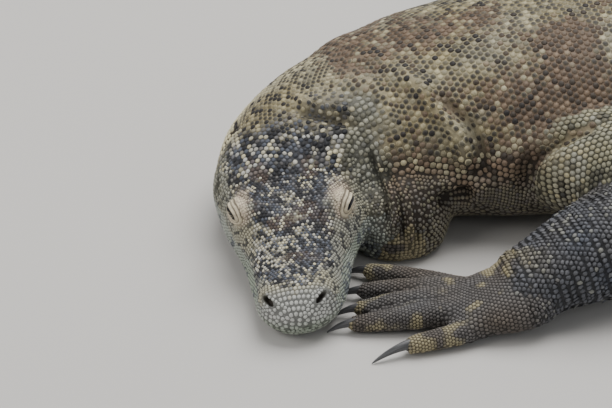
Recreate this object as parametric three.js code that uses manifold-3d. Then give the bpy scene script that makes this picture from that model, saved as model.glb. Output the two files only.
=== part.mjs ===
// A komodo dragon lying flat on the floor, life size, with its head turned round to its left.
// Millimetres, +Z up, floor at z = 0. The trunk lies along X with the front end at +X, and the
// animal's left is +Y. The origin is the centre of the bounding box, on the floor.
//
// Every fleshy piece is a loft: rings of points set along a line. The rings are given by short
// tables of stations, and a smooth cubic runs through each column of a table.
//   Ring, at angle p:  across = w |cos p|^(2/n) (1 - taper max(sin p, 0)^1.3) + shift
//                      height = widest +- reach |sin p|^(2/n), never below the floor.
// The body's line leaves the snout at HEAD_HEADING and turns by the angles in BENDS.

import * as THREE from "three";
import { mergeVertices } from "three/addons/utils/BufferGeometryUtils.js";
import Module from "manifold-3d";

const wasm = await Module();
wasm.setup();

const LENGTH = 2300; // snout to tail tip, along the body's line
const SHOULDER_AT = 375; // the shoulders' place on that line: the tables' zero in X and Y
const CENTRE = [-795.525, -13.569]; // the bounding box's centre from the shoulders
const GAP = 0.4; // clearance between two pieces that meet
const BODY_AROUND = 22; // points in one ring of the neck and trunk
const TAIL_AROUND = 16;
const HEAD_AROUND = 22;
const LIMB_AROUND = 10;
const DIGIT_AROUND = 6;

// Where the body is parted: neck, front and rear trunk, four lengths of tail.
const PARTINGS = [100, 330, 640, 1000, 1300, 1640, 1980, LENGTH];
const BODY_NAMES = ["neck", "trunk_front", "trunk_rear", "tail_root", "tail_middle", "tail_rear", "tail_tip"];

// Direction of the line from snout to tail, in degrees, and its turns: from, to, degrees.
const HEAD_HEADING = 255;
const BENDS = [
  [95, 215, -62],
  [215, 420, -13],
  [500, 900, 6],
  [900, 1150, -8],
  [1150, 1500, 26],
  [1500, 2000, -10],
  [2000, 2300, -38],
];

// Body: place on the line, half width, top, widest height, bottom, n above, n below, shift to left.
const BODY = [
  [100, 36, 58, 30, 10, 2.0, 2.2, 0],
  [150, 66, 94, 38, 0, 2.0, 2.4, -12],
  [200, 82, 121, 46, -2, 2.0, 2.4, -17],
  [260, 98, 138, 52, -2, 2.0, 2.4, -10],
  [320, 112, 148, 56, -2, 2.0, 2.5, 3],
  [375, 117, 153, 58, -2, 2.0, 2.6, 10],
  [450, 116, 154, 58, -2, 2.1, 2.6, 8],
  [600, 124, 158, 56, -2, 2.1, 2.8, 0],
  [750, 124, 156, 54, -2, 2.1, 2.8, 0],
  [880, 98, 148, 56, -2, 2.1, 2.6, 0],
  [960, 78, 138, 56, -2, 2.1, 2.4, 0],
  [1060, 62, 122, 52, -2, 2.1, 2.3, 0],
  [1200, 47, 102, 44, -2, 2.0, 2.2, 0],
  [1500, 31, 80, 34, -1.5, 1.9, 2.2, 0],
  [1800, 20, 58, 25, -1.5, 1.8, 2.1, 0],
  [2100, 10, 36, 15, -1, 1.8, 2.0, 0],
  [2270, 4.5, 15, 6.5, -0.5, 2.0, 2.0, 0],
  [2300, 2.4, 9, 4.2, -0.3, 2.0, 2.0, 0],
];
const POUCH = { at: [145, 81, 24], half: [42, 38, 44] }; // loose throat in the crook of the neck

// Head: q, half width, top, widest height, bottom, n above, n below, taper, shift to left.
// The distance behind the snout is HEAD_LENGTH q q, which rounds the snout.
const HEAD_LENGTH = 200;
const HEAD_ROLL = 4.5; // degrees
const HEAD = [
  [0.0, 0, 25, 22, 17, 2.2, 2.0, 0.1, 0],
  [0.16, 19, 35, 20, 6, 2.4, 2.2, 0.12, 1],
  [0.3, 31, 45, 20, 1, 2.6, 2.3, 0.2, 3],
  [0.45, 37, 50, 22, -2, 2.9, 2.4, 0.28, 5],
  [0.6, 42, 56, 24, -2, 3.0, 2.5, 0.26, 5],
  [0.72, 51, 67, 27, -2, 3.2, 2.5, 0.22, 5],
  [0.8, 59, 74, 30, -2, 3.2, 2.5, 0.22, 6],
  [0.88, 64, 81, 33, -2, 3.0, 2.4, 0.25, 8],
  [0.95, 60, 85, 38, -2, 2.6, 2.3, 0.25, 8],
  [1.0, 40, 74, 42, 8, 2.2, 2.2, 0.2, 0],
  [1.02, 0, 48, 42, 38, 2.0, 2.0, 0.2, 0],
];
// Swellings and hollows of the head: back, left and up of the place, reach, then the push.
const HEAD_PUSHES = [
  [102, 44, 57, 15, 0, 7, 4],
  [102, -34, 57, 15, 0, -7, 4],
  [92, 32, 66, 11, -2, 3, 4],
  [92, -24, 66, 11, -2, -3, 4],
  [19, 20, 36, 9, -1, 3, 2.5],
  [19, -20, 36, 9, -1, -3, 2.5],
  [55, 2, 56, 15, 0, 0, -3.5],
  [138, 62, 62, 17, 0, -5, -3],
  [138, -52, 62, 17, 0, 5, -3],
  [166, 66, 34, 26, 0, 5, 0],
  [166, -56, 34, 26, 0, -4, 0],
];
const MOUTH = { front: 13.5, back: 24, length: 122, gap: 1.2 }; // height of the lips' line
const EYE = { radius: 10.5, left: [103, 39, 58], right: [103, -35, 58] };

// Limbs: place on the limb (0 to 1), X, Y, Z, half width, half height.
const LIMBS = {
  upper_arm_left: [
    [0, 22, 77, 60, 30, 32],
    [0.15, 11, 102, 66, 44, 42],
    [0.5, -18, 131, 72, 46, 44],
    [0.85, -47, 156, 72, 40, 40],
    [0.97, -62, 166, 68, 28, 30],
    [1, -70, 169, 66, 4, 4],
  ],
  forearm_left: [
    [0, -63, 179, 62, 4, 4],
    [0.04, -54, 180, 60, 30, 30],
    [0.2, -23, 188, 54, 44, 42],
    [0.5, 21, 196, 45, 42, 39],
    [0.8, 63, 198, 33, 36, 30],
    [1, 93, 197, 24, 31, 22],
  ],
  upper_arm_right: [
    [0, 5, -62, 58, 30, 32],
    [0.15, -8, -88, 62, 43, 42],
    [0.5, -45, -122, 66, 44, 42],
    [0.85, -85, -148, 64, 38, 38],
    [0.97, -102, -160, 60, 27, 29],
    [1, -109, -165, 58, 4, 4],
  ],
  forearm_right: [
    [0, -110, -163, 55, 4, 4],
    [0.04, -106, -170, 54, 29, 29],
    [0.2, -96, -192, 49, 41, 39],
    [0.5, -82, -224, 40, 38, 35],
    [0.8, -66, -252, 30, 31, 27],
    [1, -54, -270, 23, 27, 20],
  ],
  thigh_left: [
    [0, -575, 8, 62, 36, 40],
    [0.15, -565, 38, 62, 52, 50],
    [0.5, -530, 92, 60, 54, 50],
    [0.85, -488, 140, 56, 45, 44],
    [0.97, -470, 158, 54, 32, 34],
    [1, -463, 164, 53, 4, 4],
  ],
  shin_left: [
    [0, -462, 158, 50, 4, 4],
    [0.04, -464, 166, 49, 30, 31],
    [0.22, -480, 190, 45, 43, 40],
    [0.55, -512, 218, 36, 36, 33],
    [0.85, -540, 238, 26, 27, 24],
    [1, -553, 247, 22, 25, 20],
  ],
  thigh_right: [
    [0, -590, -50, 62, 36, 40],
    [0.15, -592, -82, 62, 52, 50],
    [0.5, -596, -142, 60, 53, 49],
    [0.85, -606, -196, 54, 44, 43],
    [0.97, -611, -216, 51, 32, 33],
    [1, -613, -223, 50, 4, 4],
  ],
  shin_right: [
    [0, -606, -223, 48, 4, 4],
    [0.04, -614, -222, 47, 30, 31],
    [0.22, -640, -218, 43, 42, 39],
    [0.55, -682, -222, 34, 35, 31],
    [0.85, -716, -234, 25, 27, 23],
    [1, -732, -242, 21, 24, 19],
  ],
};
const LIMB_NS = 2.1;

// Hands and feet: the palm's stations as above, then each digit's root, middle and tip as
// X, Y, Z, half width, half height. The claw runs on from the tip: its end's X, Y.
const PAWS = {
  hand_left: {
    palm: [
      [0, 63, 204, 26, 28, 21],
      [0.25, 86, 204, 21, 38, 21],
      [0.6, 118, 200, 15, 35, 17],
      [0.85, 137, 193, 12, 28, 13],
      [1, 150, 188, 9, 12, 8],
    ],
    digits: [
      [[121, 175, 13, 10, 11], [153, 147, 11, 9, 10], [183, 124, 8, 7.5, 8]],
      [[122, 183, 15, 12, 13], [163, 163.5, 13, 9.5, 11], [195.5, 148, 8, 7.5, 8]],
      [[125, 194, 16, 12, 13], [170.5, 180, 14, 9.5, 11], [205, 169.5, 8, 7.5, 8]],
      [[127, 206, 15, 12, 13], [176, 197, 12, 9.5, 11], [215, 187, 8, 7.5, 8]],
      [[114, 219, 12, 12, 12], [151, 226, 10, 10, 10], [183, 226, 8, 8, 8]],
    ],
    claws: [[199.7, 111.2], [214.5, 139], [225, 163.4], [235.5, 182], [215, 230]],
  },
  hand_right: fan([-62, -262], -62, [
    [0, 0, 26, 28, 20],
    [22, 0, 21, 36, 20],
    [50, 0, 15, 34, 16],
    [70, 0, 12, 27, 12],
    [84, 0, 9, 12, 8],
  ], 11, [[34, 24, 46, 66], [52, 12, 22, 96], [56, 0, 2, 104], [52, -12, -16, 104], [36, -24, -42, 78]], 29),
  foot_left: fan([-538, 236], 42, [
    [0, 0, 24, 24, 21],
    [26, 0, 20, 33, 20],
    [62, 0, 16, 36, 17],
    [92, 0, 12, 31, 13],
    [112, 0, 9, 14, 8],
  ], 12, [[66, 24, 40, 94], [80, 13, 20, 124], [84, 0, 2, 138], [78, -13, -16, 142], [44, -25, -52, 88]], 31),
  foot_right: fan([-716, -233], -118, [
    [0, 0, 24, 24, 20],
    [26, 0, 20, 33, 20],
    [62, 0, 16, 36, 17],
    [92, 0, 12, 31, 13],
    [112, 0, 9, 14, 8],
  ], 12, [[66, 24, 46, 94], [80, 13, 24, 124], [84, 0, 4, 138], [78, -13, -14, 142], [44, -25, -48, 88]], 31),
};
// Half width and height at the root, rise of its back, depth in the digit.
const CLAW = { half: [4, 4.8], arch: 6, sunk: 7 };

const COLOURS = {
  head: [0x4a4d4b, 0.7],
  body: [0x6b6650, 0.75],
  limb: [0x4b4a49, 0.8],
  claw: [0x2f3234, 0.4],
  eye: [0x1c1510, 0.12],
};

// A paw as a fan: at and heading of the wrist, palm stations as distance, side, Z and halves, the
// digits' half width, then each digit as root distance, root side, turn in degrees and reach.
function fan(at, heading, palm, thick, digits, claw) {
  const h = THREE.MathUtils.degToRad(heading);
  const place = (along, side, turn = 0, more = 0) => {
    const t = h + THREE.MathUtils.degToRad(turn);
    return [
      at[0] + along * Math.cos(h) - side * Math.sin(h) + more * Math.cos(t),
      at[1] + along * Math.sin(h) + side * Math.cos(h) + more * Math.sin(t),
    ];
  };
  const last = palm[palm.length - 1][0];
  return {
    palm: palm.map(([along, side, z, w, tall]) => [along / last, ...place(along, side), z, w, tall]),
    digits: digits.map(([along, side, turn, reach]) => {
      const more = reach - along;
      return [
        [...place(along, side), 13, thick, thick + 1],
        [...place(along, side, turn * 0.8, more * 0.55), 12, thick - 2, thick - 1],
        [...place(along, side, turn, more), 8, thick - 4, 8],
      ];
    }),
    claws: digits.map(([along, side, turn, reach]) => place(along, side, turn * 1.02, reach - along + claw)),
  };
}

// A cubic through one column of a table, with slopes that never overshoot.
function column(table, k, x) {
  const n = table.length;
  const xs = table.map((row) => row[0]);
  const ys = table.map((row) => row[k]);
  const rise = (i) => (ys[i + 1] - ys[i]) / (xs[i + 1] - xs[i]);
  const slope = (i) => {
    if (i === 0) return rise(0);
    if (i === n - 1) return rise(n - 2);
    const a = rise(i - 1);
    const b = rise(i);
    return a * b > 0 ? (2 * a * b) / (a + b) : 0;
  };
  const at = Math.min(Math.max(x, xs[0]), xs[n - 1]);
  let i = 0;
  while (i < n - 2 && at >= xs[i + 1]) i += 1;
  const h = xs[i + 1] - xs[i];
  const t = (at - xs[i]) / h;
  const t2 = t * t;
  const t3 = t2 * t;
  return (2 * t3 - 3 * t2 + 1) * ys[i] + (t3 - 2 * t2 + t) * h * slope(i)
    + (3 * t2 - 2 * t3) * ys[i + 1] + (t3 - t2) * h * slope(i + 1);
}

const smooth = (t) => THREE.MathUtils.smoothstep(t, 0, 1);

// The direction of the body's line, in radians, at a place on it.
function heading(s) {
  const turned = BENDS.reduce((sum, [from, to, angle]) => sum + angle * smooth((s - from) / (to - from)), 0);
  return THREE.MathUtils.degToRad(HEAD_HEADING + turned);
}

// The body's line, summed in steps of 1 mm from the snout and zeroed at the shoulders.
const line = [[0, 0]];
for (let s = 1; s <= LENGTH; s += 1) {
  const h = (heading(s - 1) + heading(s)) / 2;
  line.push([line[s - 1][0] + Math.cos(h), line[s - 1][1] + Math.sin(h)]);
}
const zero = [...line[SHOULDER_AT]];

function linePoint(s) {
  const i = Math.min(Math.floor(s), LENGTH - 1);
  const t = s - i;
  return [0, 1].map((k) => line[i][k] * (1 - t) + line[i + 1][k] * t - zero[k]);
}

// One ring point: across and height, from the ring formula above.
function ringPoint([w, top, widest, bottom, above, below, taper], p) {
  const c = Math.cos(p);
  const s = Math.sin(p);
  const n = s >= 0 ? above : below;
  const across = w * Math.sign(c) * Math.abs(c) ** (2 / n) * (1 - taper * Math.max(s, 0) ** 1.3);
  const reach = s >= 0
    ? (top - widest) * Math.abs(s) ** (2 / above)
    : -(widest - bottom) * Math.abs(s) ** (2 / below);
  return [across, Math.max(widest + reach, 0)];
}

function bodyPoint(s, p) {
  const [w, top, widest, bottom, above, below, shift] = [1, 2, 3, 4, 5, 6, 7].map((k) => column(BODY, k, s));
  const [across, z] = ringPoint([w, top, widest, bottom, above, below, 0], p);
  const h = heading(s);
  const [x, y] = linePoint(s);
  const b = across + shift;
  return [x + b * Math.sin(h), y - b * Math.cos(h), z];
}

// Head place (back, left, up from the snout) to X, Y, Z, with the head's small roll.
function headPlace(back, left, up) {
  const r = THREE.MathUtils.degToRad(HEAD_ROLL);
  const b = left * Math.cos(r) - (up - 22) * Math.sin(r);
  const z = 22 + left * Math.sin(r) + (up - 22) * Math.cos(r);
  const h = heading(0);
  const [x, y] = linePoint(0);
  return [x + back * Math.cos(h) + b * Math.sin(h), y + back * Math.sin(h) - b * Math.cos(h), Math.max(z, 0)];
}

function headPoint(q, p) {
  const c = [1, 2, 3, 4, 5, 6, 7, 8].map((k) => column(HEAD, k, q));
  const [across, up] = ringPoint(c.slice(0, 7), p);
  const place = [HEAD_LENGTH * q * q, across + c[7], up];
  const moved = [...place];
  for (const [a, b, z, reach, ...push] of HEAD_PUSHES) {
    const far = (place[0] - a) ** 2 + (place[1] - b) ** 2 + (place[2] - z) ** 2;
    const share = Math.exp(-far / (2 * reach * reach));
    push.forEach((d, k) => { moved[k] += d * share; });
  }
  return headPlace(...moved);
}

// A point on a limb: its ring stands square to the limb's line, with its width level.
function limbPoint(rows, t, p, n = LIMB_NS) {
  const at = (k, u) => column(rows, k, u);
  const e = 1e-3;
  const ahead = [1, 2, 3].map((k) => at(k, Math.min(t + e, 1)) - at(k, Math.max(t - e, 0)));
  const tangent = new THREE.Vector3(...ahead).normalize();
  const side = new THREE.Vector3(-tangent.y, tangent.x, 0).normalize();
  const up = new THREE.Vector3().crossVectors(tangent, side);
  const c = Math.cos(p);
  const s = Math.sin(p);
  const wide = at(4, t) * Math.sign(c) * Math.abs(c) ** (2 / n);
  const tall = at(5, t) * Math.sign(s) * Math.abs(s) ** (2 / n);
  return [
    at(1, t) + wide * side.x + tall * up.x,
    at(2, t) + wide * side.y + tall * up.y,
    Math.max(at(3, t) + wide * side.z + tall * up.z, 0),
  ];
}

// Rings of points joined into one closed solid, each end closed by a fan to its ring's middle.
function loft(rings) {
  const around = rings[0].length;
  const points = rings.flat();
  const faces = [];
  const middle = (ring) => [0, 1, 2].map((k) => ring.reduce((sum, p) => sum + p[k], 0) / around);
  rings.slice(1).forEach((_, i) => {
    for (let j = 0; j < around; j += 1) {
      const a = i * around + j;
      const b = i * around + ((j + 1) % around);
      faces.push(a, b, a + around, b, b + around, a + around);
    }
  });
  const first = points.push(middle(rings[0])) - 1;
  const last = points.push(middle(rings[rings.length - 1])) - 1;
  const start = (rings.length - 1) * around;
  for (let j = 0; j < around; j += 1) {
    faces.push(first, (j + 1) % around, j);
    faces.push(last, start + j, start + ((j + 1) % around));
  }
  return meshGeometry(points.flat(), faces);
}

function meshGeometry(positions, index) {
  const geometry = new THREE.BufferGeometry();
  geometry.setAttribute("position", new THREE.Float32BufferAttribute(positions, 3));
  geometry.setIndex(index);
  return geometry;
}

// The volume of a closed triangle mesh: the sum of a . (b x c) / 6.
function volume(geometry) {
  const p = geometry.getAttribute("position");
  const index = geometry.getIndex();
  const [a, b, c] = [new THREE.Vector3(), new THREE.Vector3(), new THREE.Vector3()];
  let sum = 0;
  for (let i = 0; i < index.count; i += 3) {
    a.fromBufferAttribute(p, index.getX(i));
    b.fromBufferAttribute(p, index.getX(i + 1));
    c.fromBufferAttribute(p, index.getX(i + 2));
    sum += a.dot(b.cross(c)) / 6;
  }
  return sum;
}

function outward(geometry) {
  if (volume(geometry) < 0) {
    const index = geometry.getIndex();
    for (let i = 0; i < index.count; i += 3) {
      const keep = index.getX(i);
      index.setX(i, index.getX(i + 2));
      index.setX(i + 2, keep);
    }
  }
  return geometry;
}

// A geometry whose faces all move outward by about the same small distance. A corner moves along
// the mean of its faces' directions, further where they differ, so that every face clears.
function grown(geometry, distance) {
  const copy = outward(mergeVertices(geometry.clone(), 1e-4));
  const p = copy.getAttribute("position");
  const index = copy.getIndex();
  const facing = Array.from({ length: p.count }, () => []);
  const corners = [new THREE.Vector3(), new THREE.Vector3(), new THREE.Vector3()];
  for (let i = 0; i < index.count; i += 3) {
    corners.forEach((corner, k) => corner.fromBufferAttribute(p, index.getX(i + k)));
    const [a, b, c] = corners;
    const normal = b.clone().sub(a).cross(c.clone().sub(a));
    if (normal.length() > 1e-6) {
      normal.normalize();
      [0, 1, 2].forEach((k) => {
        const own = facing[index.getX(i + k)];
        if (!own.some((other) => other.dot(normal) > 0.985)) own.push(normal);
      });
    }
  }
  facing.forEach((normals, i) => {
    const way = normals.reduce((sum, normal) => sum.add(normal), new THREE.Vector3()).normalize();
    const least = Math.max(0.4, Math.min(...normals.map((normal) => normal.dot(way))));
    way.multiplyScalar(distance / least);
    p.setXYZ(i, p.getX(i) + way.x, p.getY(i) + way.y, p.getZ(i) + way.z);
  });
  return copy;
}

function solid(geometry) {
  const clean = geometry.clone();
  clean.deleteAttribute("normal");
  clean.deleteAttribute("uv");
  const merged = outward(mergeVertices(clean, 1e-3));
  const index = [];
  const all = merged.getIndex().array;
  for (let i = 0; i < all.length; i += 3) {
    if (all[i] !== all[i + 1] && all[i + 1] !== all[i + 2] && all[i] !== all[i + 2]) {
      index.push(all[i], all[i + 1], all[i + 2]);
    }
  }
  return new wasm.Manifold(new wasm.Mesh({
    numProp: 3,
    vertProperties: Float32Array.from(merged.getAttribute("position").array),
    triVerts: Uint32Array.from(index),
  }));
}

// The largest separate body of a cut solid, as a geometry: a cut can leave crumbs behind.
function geometryOf(manifold) {
  const bodies = manifold.decompose().map((body) => {
    const mesh = body.getMesh();
    const positions = [];
    for (let i = 0; i < mesh.vertProperties.length; i += mesh.numProp) {
      positions.push(...mesh.vertProperties.subarray(i, i + 3));
    }
    return meshGeometry(positions, Array.from(mesh.triVerts));
  });
  bodies.sort((a, b) => volume(b) - volume(a));
  return bodies[0];
}

const steps = (from, to, count) =>
  Array.from({ length: count + 1 }, (_, i) => from + ((to - from) * i) / count);
const angles = (count) => Array.from({ length: count }, (_, i) => ((i + 0.5) / count) * 2 * Math.PI);
const minus = (piece, cutters) =>
  cutters.reduce((rest, cutter) => rest.subtract(solid(cutter)), solid(piece));

// ---- The pieces ----

const shapes = {};

// Head, with a round end at the snout and a round back inside the neck.
const headRings = [
  0.04, 0.11, 0.18, 0.26, 0.35, 0.45, 0.55, 0.62, 0.67, 0.71, 0.75, 0.8, 0.86, 0.92, 0.97, 1.01,
];
const wholeHead = loft(headRings.map((q) => angles(HEAD_AROUND).map((p) => headPoint(q, p))));

// The lower jaw is what lies under the lips' line, as far back as the corner of the mouth.
function underLips(lift, longer) {
  const rings = steps(0, 1, 5).map((t) => {
    const back = -12 + (MOUTH.length + 12 + longer) * t;
    const line = MOUTH.front + (MOUTH.back - MOUTH.front) * smooth(back / MOUTH.length) + lift;
    return [[80, -30], [80, line], [0, line - 1], [-80, line], [-80, -30]].map(([b, z]) => {
      const [x, y] = headPlace(back, b, 0);
      return [x, y, z - 0.02 * b];
    });
  });
  return loft(rings);
}
const eyes = Object.fromEntries(["left", "right"].map((side) => {
  const ball = new THREE.SphereGeometry(EYE.radius, 12, 8);
  ball.deleteAttribute("normal");
  ball.deleteAttribute("uv");
  return [side, ball.translate(...headPlace(...EYE[side]))];
}));
shapes.head = geometryOf(minus(wholeHead, [
  underLips(MOUTH.gap / 2, MOUTH.gap),
  grown(eyes.left, GAP),
  grown(eyes.right, GAP),
]));
shapes.lower_jaw = geometryOf(solid(wholeHead).intersect(solid(underLips(-MOUTH.gap / 2, 0))));
shapes.eye_left = eyes.left;
shapes.eye_right = eyes.right;

// Neck, trunk and tail, parted square to the body's line.
const bodyRings = (from, to, around) => {
  const count = Math.max(3, Math.round((to - from) / (from < 300 ? 26 : 55)));
  return loft(steps(from, to, count).map((s) => angles(around).map((p) => bodyPoint(s, p))));
};
BODY_NAMES.forEach((name, i) => {
  const around = name.startsWith("tail") ? TAIL_AROUND : BODY_AROUND;
  shapes[name] = bodyRings(PARTINGS[i] + GAP / 2, PARTINGS[i + 1] - GAP / 2, around);
});
const pouch = new THREE.SphereGeometry(1, 14, 9);
pouch.deleteAttribute("normal");
pouch.deleteAttribute("uv");
pouch.scale(...POUCH.half).translate(...POUCH.at);
const pouchPoints = pouch.getAttribute("position");
for (let i = 0; i < pouchPoints.count; i += 1) pouchPoints.setZ(i, Math.max(pouchPoints.getZ(i), 0));
// Limbs are cut back from the plain lofts, which lie outside the finished neck.
const bodyCutters = ["neck", "trunk_front", "trunk_rear", "tail_root"]
  .map((name) => grown(shapes[name], GAP));
bodyCutters.push(grown(pouch, GAP));
const wholeNeck = solid(shapes.neck).add(solid(pouch));
shapes.neck = geometryOf(wholeNeck.subtract(solid(grown(wholeHead, GAP))));

// Limbs. Each is cut back from the piece that carries it.
const limbRings = (rows, around, ts) => loft(ts.map((t) => angles(around).map((p) => limbPoint(rows, t, p))));
const LIMB_TS = [0, 0.03, 0.1, 0.22, 0.4, 0.6, 0.8, 0.92, 0.98, 1];
const chains = [
  ["upper_arm_left", "forearm_left", "hand_left"],
  ["upper_arm_right", "forearm_right", "hand_right"],
  ["thigh_left", "shin_left", "foot_left"],
  ["thigh_right", "shin_right", "foot_right"],
];
for (const [upper, lower, paw] of chains) {
  const upperWhole = limbRings(LIMBS[upper], LIMB_AROUND, LIMB_TS);
  const lowerWhole = limbRings(LIMBS[lower], LIMB_AROUND, LIMB_TS);
  shapes[upper] = geometryOf(minus(upperWhole, bodyCutters));
  shapes[lower] = geometryOf(minus(lowerWhole, [...bodyCutters, grown(upperWhole, GAP)]));
  const { palm, digits, claws } = PAWS[paw];
  let whole = solid(limbRings(palm, LIMB_AROUND, [0, 0.15, 0.35, 0.6, 0.8, 0.94, 1]));
  digits.forEach((rows) => {
    const [root, mid, tip] = rows;
    const end = [0, 1].map((k) => tip[k] + (tip[k] - mid[k]) * 0.16);
    const last = [1, ...end, tip[2] - 0.5, tip[3] * 0.45, tip[4] * 0.5];
    const table = [[0, ...root], [0.5, ...mid], [0.94, ...tip], last];
    whole = whole.add(solid(limbRings(table, DIGIT_AROUND, [0, 0.5, 0.9, 1])));
  });
  const cut = [...bodyCutters, grown(lowerWhole, GAP), grown(upperWhole, GAP), grown(wholeHead, GAP)];
  const pawWhole = geometryOf(whole);
  shapes[paw] = geometryOf(minus(pawWhole, cut));

  // Claws: a tapering hook from inside the digit's end, rising a little and ending on the floor.
  claws.forEach((end, i) => {
    const tip = digits[i][2];
    const along = new THREE.Vector2(end[0] - tip[0], end[1] - tip[1]);
    const reach = along.length();
    along.normalize();
    const base = [tip[0] - along.x * CLAW.sunk, tip[1] - along.y * CLAW.sunk];
    const rings = [0, 0.4, 0.8, 1].map((t) => {
      const out = (reach + CLAW.sunk) * t;
      const z = (tip[2] + 1) * (1 - t) + 0.9 * t + CLAW.arch * 4 * t * (1 - t) * 0.55;
      const slim = (1 - t) ** 0.7 * 0.88 + 0.12;
      return angles(5).map((p) => [
        base[0] + along.x * out - along.y * CLAW.half[0] * slim * Math.cos(p),
        base[1] + along.y * out + along.x * CLAW.half[0] * slim * Math.cos(p),
        Math.max(z + CLAW.half[1] * slim * Math.sin(p), 0),
      ]);
    });
    const around = [grown(pawWhole, GAP), grown(wholeHead, GAP)];
    shapes[`claw_${paw}_${i + 1}`] = geometryOf(minus(loft(rings), around));
  });
}

// ---- The scene graph ----

const group = new THREE.Group();
for (const [name, geometry] of Object.entries(shapes)) {
  const kind = name.startsWith("claw") ? "claw"
    : name.startsWith("eye") ? "eye"
      : /head|jaw/.test(name) ? "head"
        : BODY_NAMES.includes(name) ? "body" : "limb";
  const [color, roughness] = COLOURS[kind];
  const clean = outward(geometry);
  clean.translate(-CENTRE[0], -CENTRE[1], 0);
  const mesh = new THREE.Mesh(clean, new THREE.MeshStandardMaterial({ color, roughness, metalness: 0 }));
  mesh.name = name;
  group.add(mesh);
}

export default group;
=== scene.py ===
# %% [markdown]
# # A komodo dragon at rest
# This lesson dresses a life-size komodo dragon. The frame already holds the animal as plain
# solids in their true places. Here one skin goes over all of its flesh, tens of thousands of
# scales go over the skin, and the eyes and claws get their own finished shapes. We begin with
# the frame.

# %% The frame
import math
import bmesh
import bpy
import numpy as np
from mathutils import Matrix, Vector
from mathutils.bvhtree import BVHTree


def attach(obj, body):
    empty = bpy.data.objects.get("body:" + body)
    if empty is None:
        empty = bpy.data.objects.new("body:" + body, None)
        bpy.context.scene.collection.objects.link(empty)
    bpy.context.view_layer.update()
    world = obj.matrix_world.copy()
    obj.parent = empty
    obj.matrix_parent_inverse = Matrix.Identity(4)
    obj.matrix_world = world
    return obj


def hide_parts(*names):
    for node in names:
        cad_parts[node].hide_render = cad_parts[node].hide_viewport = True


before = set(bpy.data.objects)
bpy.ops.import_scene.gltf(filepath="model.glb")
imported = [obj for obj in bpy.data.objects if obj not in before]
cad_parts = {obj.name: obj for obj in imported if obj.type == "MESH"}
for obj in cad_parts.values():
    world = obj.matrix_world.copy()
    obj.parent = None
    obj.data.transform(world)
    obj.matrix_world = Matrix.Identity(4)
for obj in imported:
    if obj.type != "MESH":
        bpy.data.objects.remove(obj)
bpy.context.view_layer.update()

# %% [markdown]
# The animal's form is worked out in millimetres, with the shoulders as the zero of X and Y.
# `CENTRE` moves that zero to the frame's own, which is the middle of the box. The tables are
# the driving sizes: each row is a station, and a smooth cubic runs through every column. The
# skin lies `COAT` below the outline, which leaves room for the scales.

# %% Driving sizes of the body and head
CENTRE = np.array([-795.525, -13.569, 0.0])
LENGTH = 2300
SHOULDER_AT = 375
COAT = 1.3
HEAD_HEADING = 255
BENDS = [(95, 215, -62), (215, 420, -13), (500, 900, 6), (900, 1150, -8), (1150, 1500, 26),
         (1500, 2000, -10), (2000, 2300, -38)]

# Place on the body's line, half width, top, widest height, bottom, roundness above and below,
# shift to the left.
BODY = np.array([
    (100, 36, 58, 30, 10, 2.0, 2.2, 0),
    (150, 66, 94, 38, 0, 2.0, 2.4, -12),
    (200, 82, 121, 46, -2, 2.0, 2.4, -17),
    (260, 98, 138, 52, -2, 2.0, 2.4, -10),
    (320, 112, 148, 56, -2, 2.0, 2.5, 3),
    (375, 117, 153, 58, -2, 2.0, 2.6, 10),
    (450, 116, 154, 58, -2, 2.1, 2.6, 8),
    (600, 124, 158, 56, -2, 2.1, 2.8, 0),
    (750, 124, 156, 54, -2, 2.1, 2.8, 0),
    (880, 98, 148, 56, -2, 2.1, 2.6, 0),
    (960, 78, 138, 56, -2, 2.1, 2.4, 0),
    (1060, 62, 122, 52, -2, 2.1, 2.3, 0),
    (1200, 47, 102, 44, -2, 2.0, 2.2, 0),
    (1500, 31, 80, 34, -1.5, 1.9, 2.2, 0),
    (1800, 20, 58, 25, -1.5, 1.8, 2.1, 0),
    (2100, 10, 36, 15, -1, 1.8, 2.0, 0),
    (2270, 4.5, 15, 6.5, -0.5, 2.0, 2.0, 0),
    (2300, 2.4, 9, 4.2, -0.3, 2.0, 2.0, 0),
])
POUCH = {"at": (145, 81, 24), "half": (42, 38, 44)}

# q, half width, top, widest height, bottom, roundness above and below, taper, shift to the left.
# The distance behind the snout is HEAD_LENGTH q q.
HEAD_LENGTH = 200
HEAD_ROLL = math.radians(4.5)
ROLL_HEIGHT = 22
HEAD = np.array([
    (0.0, 0, 25, 22, 17, 2.2, 2.0, 0.1, 0),
    (0.16, 19, 35, 20, 6, 2.4, 2.2, 0.12, 1),
    (0.3, 31, 45, 20, 1, 2.6, 2.3, 0.2, 3),
    (0.45, 37, 50, 22, -2, 2.9, 2.4, 0.28, 5),
    (0.6, 42, 56, 24, -2, 3.0, 2.5, 0.26, 5),
    (0.72, 51, 67, 27, -2, 3.2, 2.5, 0.22, 5),
    (0.8, 59, 74, 30, -2, 3.2, 2.5, 0.22, 6),
    (0.88, 64, 81, 33, -2, 3.0, 2.4, 0.25, 8),
    (0.95, 60, 85, 38, -2, 2.6, 2.3, 0.25, 8),
    (1.0, 40, 74, 42, 8, 2.2, 2.2, 0.2, 0),
    (1.02, 0, 48, 42, 38, 2.0, 2.0, 0.2, 0),
])
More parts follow.
